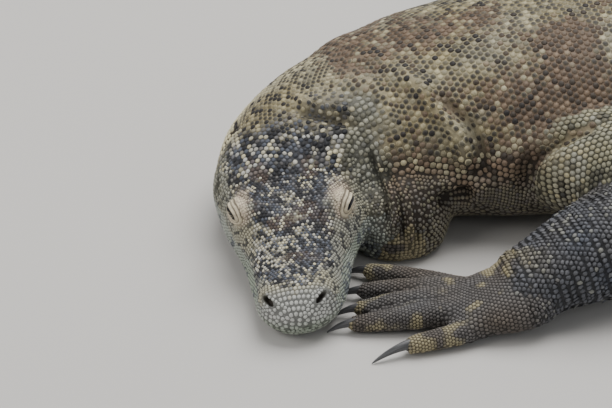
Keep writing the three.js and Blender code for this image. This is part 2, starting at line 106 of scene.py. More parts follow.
# Swellings and hollows: back, left and up of the place, reach, then the push.
HEAD_PUSHES = np.array([
    (102, 44, 57, 15, 0, 7, 4),
    (102, -34, 57, 15, 0, -7, 4),
    (92, 32, 66, 11, -2, 3, 4),
    (92, -24, 66, 11, -2, -3, 4),
    (19, 20, 36, 9, -1, 3, 2.5),
    (19, -20, 36, 9, -1, -3, 2.5),
    (55, 2, 56, 15, 0, 0, -3.5),
    (138, 62, 62, 17, 0, -5, -3),
    (138, -52, 62, 17, 0, 5, -3),
    (166, 66, 34, 26, 0, 5, 0),
    (166, -56, 34, 26, 0, -4, 0),
])
MOUTH = {"front": 13.5, "back": 24, "length": 122}
EYE = {"radius": 10.5, "left": (103, 39, 58), "right": (103, -35, 58)}
print("body stations:", len(BODY), "head stations:", len(HEAD))

# %% Driving sizes of the limbs
# Place on the limb, X, Y, Z, half width, half height.
LIMBS = {
    "upper_arm_left": [
        (0, 22, 77, 60, 30, 32), (0.15, 11, 102, 66, 44, 42), (0.5, -18, 131, 72, 46, 44),
        (0.85, -47, 156, 72, 40, 40), (0.97, -62, 166, 68, 28, 30), (1, -70, 169, 66, 4, 4)],
    "forearm_left": [
        (0, -63, 179, 62, 4, 4), (0.04, -54, 180, 60, 30, 30), (0.2, -23, 188, 54, 44, 42),
        (0.5, 21, 196, 45, 42, 39), (0.8, 63, 198, 33, 36, 30), (1, 93, 197, 24, 31, 22)],
    "upper_arm_right": [
        (0, 5, -62, 58, 30, 32), (0.15, -8, -88, 62, 43, 42), (0.5, -45, -122, 66, 44, 42),
        (0.85, -85, -148, 64, 38, 38), (0.97, -102, -160, 60, 27, 29), (1, -109, -165, 58, 4, 4)],
    "forearm_right": [
        (0, -110, -163, 55, 4, 4), (0.04, -106, -170, 54, 29, 29), (0.2, -96, -192, 49, 41, 39),
        (0.5, -82, -224, 40, 38, 35), (0.8, -66, -252, 30, 31, 27), (1, -54, -270, 23, 27, 20)],
    "thigh_left": [
        (0, -575, 8, 62, 36, 40), (0.15, -565, 38, 62, 52, 50), (0.5, -530, 92, 60, 54, 50),
        (0.85, -488, 140, 56, 45, 44), (0.97, -470, 158, 54, 32, 34), (1, -463, 164, 53, 4, 4)],
    "shin_left": [
        (0, -462, 158, 50, 4, 4), (0.04, -464, 166, 49, 30, 31), (0.22, -480, 190, 45, 43, 40),
        (0.55, -512, 218, 36, 36, 33), (0.85, -540, 238, 26, 27, 24), (1, -553, 247, 22, 25, 20)],
    "thigh_right": [
        (0, -590, -50, 62, 36, 40), (0.15, -592, -82, 62, 52, 50), (0.5, -596, -142, 60, 53, 49),
        (0.85, -606, -196, 54, 44, 43), (0.97, -611, -216, 51, 32, 33), (1, -613, -223, 50, 4, 4)],
    "shin_right": [
        (0, -606, -223, 48, 4, 4), (0.04, -614, -222, 47, 30, 31), (0.22, -640, -218, 43, 42, 39),
        (0.55, -682, -222, 34, 35, 31), (0.85, -716, -234, 25, 27, 23), (1, -732, -242, 21, 24, 19)],
}


def fan(at, heading, palm, thick, digits, claw):
    """A paw from a few sizes: each digit turns by its own angle and reaches its own length."""
    h = math.radians(heading)

    def place(along, side, turn=0.0, more=0.0):
        """Along and beside the paw's heading, then some more along a turned heading."""
        t = h + math.radians(turn)
        return (at[0] + along * math.cos(h) - side * math.sin(h) + more * math.cos(t),
                at[1] + along * math.sin(h) + side * math.cos(h) + more * math.sin(t))

    rows = [(a / palm[-1][0], *place(a, b), z, w, tall) for a, b, z, w, tall in palm]
    fingers = [((*place(a, b), 13, thick, thick + 1),
                (*place(a, b, turn * 0.8, (reach - a) * 0.55), 12, thick - 2, thick - 1),
                (*place(a, b, turn, reach - a), 8, thick - 4, 8)) for a, b, turn, reach in digits]
    ends = [place(a, b, turn * 1.02, reach - a + claw) for a, b, turn, reach in digits]
    return {"palm": rows, "digits": fingers, "claws": ends}


HAND_PALM = [(0, 0, 26, 28, 20), (22, 0, 21, 36, 20), (50, 0, 15, 34, 16), (70, 0, 12, 27, 12),
             (84, 0, 9, 12, 8)]
FOOT_PALM = [(0, 0, 24, 24, 21), (26, 0, 20, 33, 20), (62, 0, 16, 36, 17), (92, 0, 12, 31, 13),
             (112, 0, 9, 14, 8)]
FOOT_PALM_LOW = [(0, 0, 24, 24, 20)] + FOOT_PALM[1:]
PAWS = {
    "hand_left": {
        "palm": [(0, 63, 204, 26, 28, 21), (0.25, 86, 204, 21, 38, 21), (0.6, 118, 200, 15, 35, 17),
                 (0.85, 137, 193, 12, 28, 13), (1, 150, 188, 9, 12, 8)],
        "digits": [
            ((121, 175, 13, 10, 11), (153, 147, 11, 9, 10), (183, 124, 8, 7.5, 8)),
            ((122, 183, 15, 12, 13), (163, 163.5, 13, 9.5, 11), (195.5, 148, 8, 7.5, 8)),
            ((125, 194, 16, 12, 13), (170.5, 180, 14, 9.5, 11), (205, 169.5, 8, 7.5, 8)),
            ((127, 206, 15, 12, 13), (176, 197, 12, 9.5, 11), (215, 187, 8, 7.5, 8)),
            ((114, 219, 12, 12, 12), (151, 226, 10, 10, 10), (183, 226, 8, 8, 8))],
        "claws": [(199.7, 111.2), (214.5, 139), (225, 163.4), (235.5, 182), (215, 230)]},
    "hand_right": fan((-62, -262), -62, HAND_PALM, 11, [
        (34, 24, 46, 66), (52, 12, 22, 96), (56, 0, 2, 104), (52, -12, -16, 104),
        (36, -24, -42, 78)], 29),
    "foot_left": fan((-538, 236), 42, FOOT_PALM, 12, [
        (66, 24, 40, 94), (80, 13, 20, 124), (84, 0, 2, 138), (78, -13, -16, 142),
        (44, -25, -52, 88)], 31),
    "foot_right": fan((-716, -233), -118, FOOT_PALM_LOW, 12, [
        (66, 24, 46, 94), (80, 13, 24, 124), (84, 0, 4, 138), (78, -13, -14, 142),
        (44, -25, -48, 88)], 31),
}
CLAW = {"half": (4, 4.8), "arch": 6, "sunk": 7}
print("limb lengths:", len(LIMBS), "paws:", len(PAWS))

# %% [markdown]
# A table becomes a surface in two moves. `column` runs a cubic through one column, with slopes
# that never overshoot. A ring formula then turns the values at each station into a closed loop
# of points, and a row of loops is the surface. Everything is done on whole arrays.

# %% Curves and rings


def column(table, k, x):
    """Cubic through column k: h00 y0 + h10 h m0 + h01 y1 + h11 h m1, harmonic-mean slopes m."""
    table = np.asarray(table, float)
    xs, ys = table[:, 0], table[:, k]
    x = np.clip(np.asarray(x, float), xs[0], xs[-1])
    rise = np.diff(ys) / np.diff(xs)
    both = rise[:-1] * rise[1:]
    total = rise[:-1] + rise[1:]
    inner = np.where(both > 0, 2 * both / np.where(both > 0, total, 1), 0)
    slope = np.concatenate([rise[:1], inner, rise[-1:]])
    i = np.clip(np.searchsorted(xs, x, side="right") - 1, 0, len(xs) - 2)
    h = xs[i + 1] - xs[i]
    t = (x - xs[i]) / h
    return ((2 * t**3 - 3 * t**2 + 1) * ys[i] + (t**3 - 2 * t**2 + t) * h * slope[i]
            + (3 * t**2 - 2 * t**3) * ys[i + 1] + (t**3 - t**2) * h * slope[i + 1])


def smooth(t):
    """The smooth step 3t2 - 2t3, held at 0 and 1 outside."""
    t = np.clip(t, 0, 1)
    return t * t * (3 - 2 * t)


def heading(s):
    """Direction of the body's line: the head's heading plus each bend's share so far."""
    turned = sum(angle * smooth((np.asarray(s, float) - a) / (b - a)) for a, b, angle in BENDS)
    return np.radians(HEAD_HEADING + turned)


# The body's line: steps of 1 mm, each along the heading at its middle.
STEPS = np.arange(0, LENGTH + 1, 1.0)
mid_heading = (heading(STEPS[:-1]) + heading(STEPS[1:])) / 2
LINE = np.zeros((len(STEPS), 2))
LINE[1:, 0] = np.cumsum(np.cos(mid_heading))
LINE[1:, 1] = np.cumsum(np.sin(mid_heading))
LINE -= LINE[SHOULDER_AT].copy()


def line_point(s):
    """Plan position on the body's line, straight between whole millimetres."""
    return np.interp(s, STEPS, LINE[:, 0]), np.interp(s, STEPS, LINE[:, 1])


def signed_power(v, k):
    """|v| to the power k, with v's sign."""
    return np.sign(v) * np.abs(v) ** k


def ring_point(w, top, widest, bottom, above, below, taper, p):
    """across = w |cos p|^(2/n) (1 - taper sin^1.3), height = widest +- reach |sin p|^(2/n)."""
    c, s = np.cos(p), np.sin(p)
    upper = s >= 0
    n = np.where(upper, above, below)
    across = w * signed_power(c, 2 / n) * (1 - taper * np.maximum(s, 0) ** 1.3)
    reach = np.where(upper, (top - widest) * np.abs(s) ** (2 / above),
                     -(widest - bottom) * np.abs(s) ** (2 / below))
    return across, widest + reach


def body_surface(s, p, inset=COAT):
    """Point of the neck, trunk or tail at place s on the line and angle p round it."""
    w, top, widest, bottom, above, below, shift = (column(BODY, k, s) for k in range(1, 8))
    across, z = ring_point(w - inset, top - inset, widest, bottom, above, below, 0.0, p)
    h = heading(s)
    x, y = line_point(s)
    b = across + shift
    return np.stack([x + b * np.sin(h), y - b * np.cos(h), np.maximum(z, inset)], -1)


SNOUT = np.array(line_point(0.0))
HEAD_ALONG = np.array([np.cos(heading(0.0)), np.sin(heading(0.0))])
HEAD_LEFT = np.array([np.sin(heading(0.0)), -np.cos(heading(0.0))])


def head_place(place, inset=0.0):
    """Back, left and up from the snout to X, Y, Z, rolled about a line at ROLL_HEIGHT."""
    back, left, up = np.moveaxis(np.asarray(place, float), -1, 0)
    b = left * math.cos(HEAD_ROLL) - (up - ROLL_HEIGHT) * math.sin(HEAD_ROLL)
    z = ROLL_HEIGHT + left * math.sin(HEAD_ROLL) + (up - ROLL_HEIGHT) * math.cos(HEAD_ROLL)
    plan = SNOUT + back[..., None] * HEAD_ALONG + b[..., None] * HEAD_LEFT
    return np.concatenate([plan, np.maximum(z, inset)[..., None]], -1)


def head_coords(points):
    """The reverse of head_place: X, Y, Z to back, left and up from the snout."""
    away = points[..., :2] - SNOUT
    b = away @ HEAD_LEFT
    z = points[..., 2] - ROLL_HEIGHT
    left = b * math.cos(HEAD_ROLL) + z * math.sin(HEAD_ROLL)
    up = ROLL_HEIGHT - b * math.sin(HEAD_ROLL) + z * math.cos(HEAD_ROLL)
    return np.stack([away @ HEAD_ALONG, left, up], -1)


def head_surface(q, p, inset=COAT):
    """Ring formula for the head, then each swelling adds its push times a bell curve."""
    w, top, widest, bottom, above, below, taper, shift = (column(HEAD, k, q) for k in range(1, 9))
    across, up = ring_point(np.maximum(w - inset, 0.3), top - inset, widest, bottom + inset,
                            above, below, taper, p)
    place = np.stack([HEAD_LENGTH * q * q + inset * (1 - q), across + shift, up], -1)
    moved = place.copy()
    for row in HEAD_PUSHES:
        far = ((place - row[:3]) ** 2).sum(-1)
        moved += np.exp(-far / (2 * row[3] ** 2))[..., None] * row[4:]
    return head_place(moved, inset)


def limb_surface(rows, t, p, inset=COAT, n=2.1):
    """Ring square to the limb's line, its width level: half sizes times |cos|, |sin| powers."""
    at = [column(rows, k, t) for k in range(1, 6)]
    e = 1e-3
    ahead = [column(rows, k, np.minimum(t + e, 1)) - column(rows, k, np.maximum(t - e, 0))
             for k in (1, 2, 3)]
    tangent = np.stack(ahead, -1)
    tangent /= np.linalg.norm(tangent, axis=-1, keepdims=True)
    side = np.stack([-tangent[..., 1], tangent[..., 0], 0 * tangent[..., 0]], -1)
    side /= np.linalg.norm(side, axis=-1, keepdims=True)
    up = np.cross(tangent, side)
    wide = (np.maximum(at[3] - inset, 0.4) * signed_power(np.cos(p), 2 / n))[..., None]
    tall = (np.maximum(at[4] - inset, 0.4) * signed_power(np.sin(p), 2 / n))[..., None]
    points = np.stack(at[:3], -1) + wide * side + tall * up
    points[..., 2] = np.maximum(points[..., 2], inset)
    return points


def digit_rows(digit):
    """A digit's table: root, middle and tip, then a small round end just beyond."""
    root, mid, tip = digit
    end = [tip[k] + (tip[k] - mid[k]) * 0.16 for k in (0, 1)]
    round_end = (*end, tip[2] - 0.5, tip[3] * 0.45, tip[4] * 0.5)
    return [(0, *root), (0.5, *mid), (0.94, *tip), (1, *round_end)]


print("snout at", np.round(SNOUT, 1), "tail tip at", np.round(LINE[-1], 1))

# %% [markdown]
# A mesh needs corners and faces. `loft` closes a grid of loops with a cap at each end, and
# `new_mesh` writes whole arrays into a Blender mesh. Points are moved to the frame's zero and
# turned to metres only on the way into a mesh, so the rest of the lesson can think in
# millimetres. `paint` and `set_uv` give each corner a colour and a place on a flat map.

# %% Mesh helpers


def to_frame(points):
    """Millimetres from the shoulders to metres in the frame."""
    return (np.asarray(points, float) - CENTRE) / 1000


def from_frame(points):
    """Metres in the frame to millimetres from the shoulders."""
    return np.asarray(points, float) * 1000 + CENTRE


def loft(grid):
    """Corners, quads and cap triangles of a closed loft over a grid of shape rings, around, 3."""
    rings, around = grid.shape[:2]
    i, j = np.meshgrid(np.arange(rings - 1), np.arange(around), indexing="ij")
    a = i * around + j
    b = i * around + (j + 1) % around
    quads = np.stack([a, b, b + around, a + around], -1).reshape(-1, 4)
    corners = np.concatenate([grid.reshape(-1, 3), grid[:1].mean(1), grid[-1:].mean(1)])
    k = np.arange(around)
    first, last = rings * around, rings * around + 1
    start = (rings - 1) * around
    caps = np.concatenate([
        np.stack([np.full(around, first), (k + 1) % around, k], -1),
        np.stack([np.full(around, last), start + k, start + (k + 1) % around], -1)])
    return corners, [quads, caps]


def new_mesh(name, corners, face_sets):
    """A mesh from corners in millimetres and a list of equal-sided face arrays."""
    mesh = bpy.data.meshes.new(name)
    loops = np.concatenate([faces.ravel() for faces in face_sets]).astype(np.int32)
    sides = np.concatenate([np.full(len(faces), faces.shape[1]) for faces in face_sets])
    mesh.vertices.add(len(corners))
    mesh.vertices.foreach_set("co", to_frame(corners).astype(np.float32).ravel())
    mesh.loops.add(len(loops))
    mesh.loops.foreach_set("vertex_index", loops)
    mesh.polygons.add(len(sides))
    mesh.polygons.foreach_set("loop_start", (np.cumsum(sides) - sides).astype(np.int32))
    mesh.update(calc_edges=True)
    mesh.validate()
    mesh.polygons.foreach_set("use_smooth", np.ones(len(mesh.polygons), bool))
    return mesh


def new_object(name, mesh, material=None):
    """An object at the origin that shows the mesh with one material."""
    obj = bpy.data.objects.new(name, mesh)
    bpy.context.scene.collection.objects.link(obj)
    if material:
        mesh.materials.append(material)
    return obj


def outward(mesh):
    """Turns all faces outwards by asking bmesh, for a closed mesh."""
    bm = bmesh.new()
    bm.from_mesh(mesh)
    bmesh.ops.recalc_face_normals(bm, faces=bm.faces)
    bm.to_mesh(mesh)
    bm.free()


def points_of(mesh):
    """A mesh's corners in millimetres."""
    flat = np.empty(len(mesh.vertices) * 3, np.float32)
    mesh.vertices.foreach_get("co", flat)
    return from_frame(flat.reshape(-1, 3))


def set_points(mesh, points):
    """Puts a mesh's corners at new places, given in millimetres."""
    mesh.vertices.foreach_set("co", to_frame(points).astype(np.float32).ravel())
    mesh.update()


def normals_of(mesh):
    """The surface's outward direction at each corner, of length one."""
    flat = np.empty(len(mesh.vertices) * 3, np.float32)
    mesh.vertices.foreach_get("normal", flat)
    return flat.reshape(-1, 3).astype(float)


def paint(mesh, colours):
    """Writes one opaque colour for each corner to the attribute "tint"."""
    layer = mesh.color_attributes.new("tint", "FLOAT_COLOR", "POINT")
    opaque = np.column_stack([colours, np.ones(len(colours))])
    layer.data.foreach_set("color", opaque.astype(np.float32).ravel())


def set_uv(mesh, name, corner_uv):
    """A UV map: each corner's place is handed to every face that uses the corner."""
    loops = np.empty(len(mesh.loops), np.int32)
    mesh.loops.foreach_get("vertex_index", loops)
    uv = mesh.uv_layers.new(name=name)
    uv.data.foreach_set("uv", corner_uv[loops].astype(np.float32).ravel())


print("the frame's zero in millimetres from the shoulders:", CENTRE.tolist())

# %% [markdown]
# ## Camera, light and floor
# The animal lies on the ground and is seen from above its head, a little to its left, through a
# long lens. The camera is set by one known place: the middle of the upper lip falls on a chosen
# pixel at a chosen scale, and the viewing direction does the rest. One wide lamp overhead and
# three weaker ones round the animal give the soft light of an overcast day.

# %% Camera
IMAGE = (612, 408)
LIP_PIXEL = (297, 331)
LIP_PLACE = (0, 0, 15)
PIXELS_PER_MM = 1.32
DISTANCE = 2700
VIEW_TURN = math.radians(163)
VIEW_TILT = math.radians(34)
SENSOR = 36

right = Vector((math.cos(VIEW_TURN), math.sin(VIEW_TURN), 0))
back = Vector((math.sin(VIEW_TURN) * math.cos(VIEW_TILT), -math.cos(VIEW_TURN) * math.cos(VIEW_TILT),
               math.sin(VIEW_TILT)))
above = back.cross(right)
lip = Vector(head_place(np.array(LIP_PLACE, float)))
stand = (lip + back * DISTANCE - right * (LIP_PIXEL[0] - IMAGE[0] / 2) / PIXELS_PER_MM
         + above * (LIP_PIXEL[1] - IMAGE[1] / 2) / PIXELS_PER_MM)
camera = bpy.data.cameras.new("camera")
camera.sensor_width = SENSOR
camera.lens = PIXELS_PER_MM * DISTANCE / IMAGE[0] * SENSOR
camera.clip_end = 50
camera_object = new_object("camera", camera)
turn = Matrix((right, above, back)).transposed()
camera_object.matrix_world = Matrix.Translation(Vector(to_frame(stand))) @ turn.to_4x4()
bpy.context.scene.camera = camera_object
print("camera", [round(v, 3) for v in camera_object.location], "lens", round(camera.lens, 1))

# %% Light and floor


def soft_lamp(name, place, aim, size, watts, colour):
    """A square area lamp at a place, turned to face another."""
    lamp = bpy.data.lights.new(name, "AREA")
    lamp.shape = "SQUARE"
    lamp.size = size
    lamp.energy = watts
    lamp.color = colour
    lamp_object = new_object(name, lamp)
    lamp_object.location = place
    lamp_object.rotation_euler = (Vector(aim) - Vector(place)).to_track_quat("-Z", "Y").to_euler()
    return lamp_object


head_spot = tuple(to_frame(head_place(np.array([100.0, 0, 20]))))
soft_lamp("overhead", (0.2, -0.6, 2.5), (0.8, 0.2, 0), 2.2, 88, (1.0, 0.99, 0.97))
soft_lamp("left side", (3.0, 0.2, 1.6), head_spot, 1.6, 28, (1.0, 0.98, 0.95))
soft_lamp("right side", (-0.6, 2.6, 1.5), head_spot, 2.0, 14, (0.95, 0.98, 1.0))
soft_lamp("tail side", (-1.6, -2.2, 1.8), (-0.3, 0, 0), 2.2, 20, (1.0, 1.0, 1.0))

world = bpy.data.worlds.new("studio")
world.use_nodes = True
sky = world.node_tree.nodes["Background"]
sky.inputs["Color"].default_value = (0.80, 0.81, 0.82, 1)
sky.inputs["Strength"].default_value = 0.32
bpy.context.scene.world = world

FLOOR = 14.0
floor_mesh = bpy.data.meshes.new("floor")
floor_corners = [(x * FLOOR, y * FLOOR, 0) for x, y in ((-1, -1), (1, -1), (1, 1), (-1, 1))]
floor_mesh.from_pydata(floor_corners, [], [(0, 1, 2, 3)])
floor_material = bpy.data.materials.new("floor")
floor_material.use_nodes = True
floor_shader = floor_material.node_tree.nodes["Principled BSDF"]
floor_shader.inputs["Base Color"].default_value = (0.60, 0.585, 0.565, 1)
floor_shader.inputs["Roughness"].default_value = 0.85
new_object("floor", floor_mesh, floor_material)

# %% [markdown]
# ## One skin
# A real animal has no joints between its neck and trunk, so the skin can't be a row of separate
# tubes. We loft every part a little finer than the solids, throw them all into one mesh, and let
# a voxel Remesh modifier melt them into a single closed surface. That keeps the true outline and
# needs no boolean. The melted surface has sharp valleys where a leg meets the trunk, so the next
# cell relaxes those places, as loose hide would.

# %% Lofts of every part
FINE = 1


def ring_angles(count):
    """Angles of a ring's corners, half a step off the top and the sides."""
    return (np.arange(count) + 0.5) / count * 2 * np.pi


def part_grid(surface, along, count):
    """The surface at every station and every angle: shape stations, count, 3."""
    t, p = np.meshgrid(along, ring_angles(count), indexing="ij")
    return surface(t, p)


def pouch_surface(t, p):
    """A squashed ball: latitude pi (t - 1/2), longitude p, times the half sizes."""
    lat = np.pi * (t - 0.5)
    ball = np.stack([np.cos(lat) * np.cos(p), np.cos(lat) * np.sin(p), np.sin(lat)], -1)
    points = np.array(POUCH["at"]) + ball * (np.array(POUCH["half"]) - COAT)
    points[..., 2] = np.maximum(points[..., 2], COAT)
    return points


def limb_part(rows):
    """A limb's table as a surface of its own, like head_surface and body_surface."""
    return lambda t, p: limb_surface(rows, t, p)


LIMB_ALONG = np.concatenate([[0, 0.015, 0.03], np.linspace(0.05, 0.95, 30), [0.97, 0.985, 1]])
PARTS = {"head": (head_surface, np.linspace(0.02, 1.017, 80), 88),
         "body": (body_surface, np.linspace(100, 2299, 500), 84),
         "pouch": (pouch_surface, np.linspace(0.01, 0.99, 30), 40)}
for limb_name, limb_rows in LIMBS.items():
    PARTS[limb_name] = (limb_part(limb_rows), LIMB_ALONG, 44)
for paw_name, paw in PAWS.items():
    PARTS[paw_name] = (limb_part(paw["palm"]), LIMB_ALONG, 36)
    for number, digit in enumerate(paw["digits"], 1):
        PARTS[f"{paw_name}_digit_{number}"] = (limb_part(digit_rows(digit)), LIMB_ALONG, 22)

corner_sets, quad_sets, cap_sets = [], [], []
shift = 0
for surface, along, count in PARTS.values():
    corners, (quads, caps) = loft(part_grid(surface, along, count))
    corner_sets.append(corners)
    quad_sets.append(quads + shift)
    cap_sets.append(caps + shift)
    shift += len(corners)
all_faces = [np.concatenate(quad_sets), np.concatenate(cap_sets)]
lofts = new_mesh("lofts", np.concatenate(corner_sets), all_faces)
outward(lofts)
print("lofted parts:", len(PARTS), "faces:", len(lofts.polygons))

# %% Melt and relax
VOXEL = 3.2 * FINE


def edge_pairs(mesh):
    """The two corners of every edge, one row for each edge."""
    flat = np.empty(len(mesh.edges) * 2, np.int32)
    mesh.edges.foreach_get("vertices", flat)
    return flat.reshape(-1, 2)


def neighbour_mean(values, pairs):
    """The mean of each corner's neighbours, summed along the edges in both directions."""
    count = len(values)
    a, b = pairs[:, 0], pairs[:, 1]
    number = np.bincount(a, minlength=count) + np.bincount(b, minlength=count)
    total = np.stack([np.bincount(a, values[b, k], count) + np.bincount(b, values[a, k], count)
                      for k in range(values.shape[1])], -1)
    return total / np.maximum(number, 1)[:, None]


def relax(points, pairs, weight, rounds):
    """Moves each corner towards its neighbours' mean by its weight, some rounds in a row."""
    for _ in range(rounds):
        points = points + weight[:, None] * (neighbour_mean(points, pairs) - points)
    return points


def bell(points, centre, reach):
    """exp(-d2 / 2 reach2) of the distance d from a centre; reach may differ by axis."""
    away = (points - np.asarray(centre, float)) / np.asarray(reach, float)
    return np.exp(-(away**2).sum(-1) / 2)


def above_floor(points):
    """Lifts the corners that lie too low, so that there is room for scales under the belly."""
    return np.column_stack([points[:, :2], np.maximum(points[:, 2], COAT * 0.8)])


def finished(holder):
    """The mesh that an object shows once its modifiers have run; the object itself goes."""
    graph = bpy.context.evaluated_depsgraph_get()
    mesh = bpy.data.meshes.new_from_object(holder.evaluated_get(graph))
    bpy.data.objects.remove(holder)
    return mesh


def voxel_melt(mesh, size):
    """The union of a mesh's overlapping closed shells, by a voxel Remesh modifier."""
    raw = new_object("raw", mesh)
    remesh = raw.modifiers.new("melt", "REMESH")
    remesh.mode = "VOXEL"
    remesh.voxel_size = size / 1000
    remesh.use_smooth_shade = True
    return finished(raw)


# Where limbs leave the body and bend: X, Y, Z, reach, strength.
JUNCTIONS = [
    (10, 100, 66, 30, 0.9), (-66, 172, 64, 22, 0.7), (75, 200, 28, 20, 0.6),
    (-10, -90, 62, 30, 0.9), (-106, -166, 58, 22, 0.7), (-60, -262, 26, 20, 0.6),
    (-560, 50, 62, 34, 0.9), (-466, 160, 52, 24, 0.7), (-545, 242, 24, 20, 0.6),
    (-594, -90, 62, 34, 0.9), (-612, -220, 50, 24, 0.7), (-724, -236, 23, 20, 0.6),
    (120, 100, 40, 26, 0.6),
]
skin_mesh = voxel_melt(lofts, VOXEL)
bpy.data.meshes.remove(lofts)
points = points_of(skin_mesh)
pairs = edge_pairs(skin_mesh)
weight = np.clip(sum(strength * bell(points, (x, y, z), reach)
                     for x, y, z, reach, strength in JUNCTIONS), 0, 0.8)
nape = head_place(np.array([172.0, 0, 80]))
weight = np.clip(weight + 0.7 * bell(points, nape, (30, 45, 22)), 0, 0.8)
points = relax(points, pairs, weight, 24)
paws_near = sum(bell(points, np.mean([row[1:4] for row in paw["palm"]], 0), 45) for paw in PAWS.values())
points = relax(points, pairs, 0.3 * np.clip(paws_near, 0, 1), 2)
set_points(skin_mesh, above_floor(points))
print("melted skin:", len(skin_mesh.vertices), "corners,", len(skin_mesh.polygons), "faces")

# %% [markdown]
# ## Fine where it counts
# The melt gives every place the same small faces. The trunk and tail hide under big scales, so a
# Decimate modifier thins them there, steered by a vertex group. It would leave very long faces
# on smooth stretches, so those are roughened by a hair first and smoothed again afterwards,
# which keeps the faces even. The head goes the other way: its faces are cut in four, and once
# more round the eyes, the nostrils and the mouth, so that lids and lips can be shaped by moving
# corners.

# %% Thin the trunk, refine the head
BODY_SHARE = 0.38
ROUGHNESS = 1.8


def thin_mesh(mesh, weight, share):
    """Collapses edges where weight is 1 until only a share of all faces is left."""
    holder = new_object("thin", mesh)
    group = holder.vertex_groups.new(name="thin")
    for level in (0.25, 0.5, 0.75, 1.0):
        inside = np.nonzero((weight > level - 0.25) & (weight <= level))[0]
        group.add(inside.tolist(), level, "REPLACE")
    decimate = holder.modifiers.new("thin", "DECIMATE")
    decimate.ratio = share
    decimate.vertex_group = "thin"
    decimate.vertex_group_factor = 1.0
    return finished(holder)


def cut_faces(mesh, inside):
    """Halves every edge whose two corners are inside, and fills the grid between them."""
    bm = bmesh.new()
    bm.from_mesh(mesh)
    flags = inside.tolist()
    edges = [e for e in bm.edges if flags[e.verts[0].index] and flags[e.verts[1].index]]
    bmesh.ops.subdivide_edges(bm, edges=edges, cuts=1, use_grid_fill=True, smooth=0.0)
    bmesh.ops.triangulate(bm, faces=[f for f in bm.faces if len(f.verts) > 4])
    bm.to_mesh(mesh)
    bm.free()


def reach_of(points, places, reach):
    """How near points come to any of some places: 1 within reach, 0 from 1.3 times reach."""
    near = np.min([np.linalg.norm(points - np.asarray(p, float), axis=-1) for p in places], 0)
    return 1 - smooth((near / reach - 1) / 0.3)


# Places whose neighbourhood keeps all its faces: the head and neck, the left forearm and hand.
neck_places = [head_place(np.array([back_by, 0.0, 20])) for back_by in (20, 70, 120, 170)]
neck_places += [(*line_point(s), 50) for s in (230, 280, 330)]
arm_places = [(row[1], row[2], 30) for row in LIMBS["forearm_left"][1:]]
arm_places += [(110, 200, 12), (150, 185, 12), (190, 175, 12), (140, 220, 12), (180, 226, 12)]
digit_places = [row[:3] for paw in PAWS.values() for digit in paw["digits"] for row in digit]
tail_places = [np.append(line_point(2250.0), 8)]


def kept_share(points):
    """1 where every face is kept, 0 where faces may be thinned."""
    return np.maximum(reach_of(points, neck_places, 125), reach_of(points, arm_places, 60))


def smooth_stretch(points):
    """1 on the body and upper limbs, 0 near the kept places, the digits and the tail's tip."""
    thick = (1 - reach_of(points, digit_places, 40)) * (1 - reach_of(points, tail_places, 150))
    return (1 - kept_share(points)) * thick


points = points_of(skin_mesh)
random = np.random.default_rng(5)
rough = ROUGHNESS * (random.random(len(points)) - 0.5) * smooth_stretch(points)
set_points(skin_mesh, points + rough[:, None] * normals_of(skin_mesh))
skin_mesh = thin_mesh(skin_mesh, 1 - kept_share(points), BODY_SHARE)
points, pairs = points_of(skin_mesh), edge_pairs(skin_mesh)
points = above_floor(relax(points, pairs, 0.55 * smooth_stretch(points), 5))
set_points(skin_mesh, points)
longest = np.linalg.norm(points[pairs[:, 0]] - points[pairs[:, 1]], axis=-1).max()
print("longest edge:", round(float(longest), 1), "mm")
print("thinned:", len(skin_mesh.vertices), "corners,", len(skin_mesh.polygons), "faces")

if FINE == 1:
    points = points_of(skin_mesh)
    here = head_coords(points)
    cut_faces(skin_mesh, (here[:, 0] < 172) & (np.abs(here[:, 1]) < 95) & (points[:, 2] > 2))
    points = points_of(skin_mesh)
    in_head = head_coords(points)[:, 0] < 178
    set_points(skin_mesh, relax(points, edge_pairs(skin_mesh), np.where(in_head, 0.5, 0.0), 3))
print("refined:", len(skin_mesh.vertices), "corners,", len(skin_mesh.polygons), "faces")

# %% [markdown]
# ## Lids, nostrils and lips
# These are moves of the skin's own corners, so nothing has to be joined on. A lid is the skin
# laid on a ball a little wider than the eye, and the slit is a short curve on that ball where
# the skin dives below the eye's surface, so the eye shows through. A nostril is a slanting pit
# with a raised rim, and the mouth is a groove under a rolled lip. All of it is worked out in the
# head's own measures: back from the snout, left, and up.

# %% Helpers for moving corners


def hump(x, at, wide):
    """exp(-((x - at) / wide)2): 1 at one value and nearly 0 two widths away from it."""
    return np.exp(-((x - at) / wide) ** 2)


def near_path(points, path):
    """Nearest place on a polyline: the vector away from it, the distance and the share along."""
    path = np.asarray(path, float)
    start, leg = path[:-1], np.diff(path, axis=0)
    t = np.clip(((points[:, None] - start) * leg).sum(-1) / (leg**2).sum(-1), 0, 1)
    away = points[:, None] - (start + t[..., None] * leg)
    far = np.sqrt((away**2).sum(-1))
    k = far.argmin(1)
    row = np.arange(len(points))
    return away[row, k], far[row, k], (k + t[row, k]) / len(leg)


def curve_through(places, count=25):
    """A smooth run of points through a few places: a cubic through each coordinate."""
    table = np.column_stack([np.linspace(0, 1, len(places)), np.asarray(places, float)])
    t = np.linspace(0, 1, count)
    return np.stack([column(table, k, t) for k in (1, 2, 3)], -1)


def line_profile(points, places, width, taper=True):
    """exp(-d2 / 2 width2) of the distance from a curve, fading over its two ends."""
    path = curve_through(places)
    lowest, highest = path.min(0) - 4 * width, path.max(0) + 4 * width
    near = np.nonzero(((points > lowest) & (points < highest)).all(1))[0]
    value = np.zeros(len(points))
    if len(near):
        _, far, share = near_path(points[near], path)
        fade = smooth(share / 0.2) * smooth((1 - share) / 0.2) if taper else 1.0
        value[near] = np.exp(-far**2 / (2 * width**2)) * fade
    return value


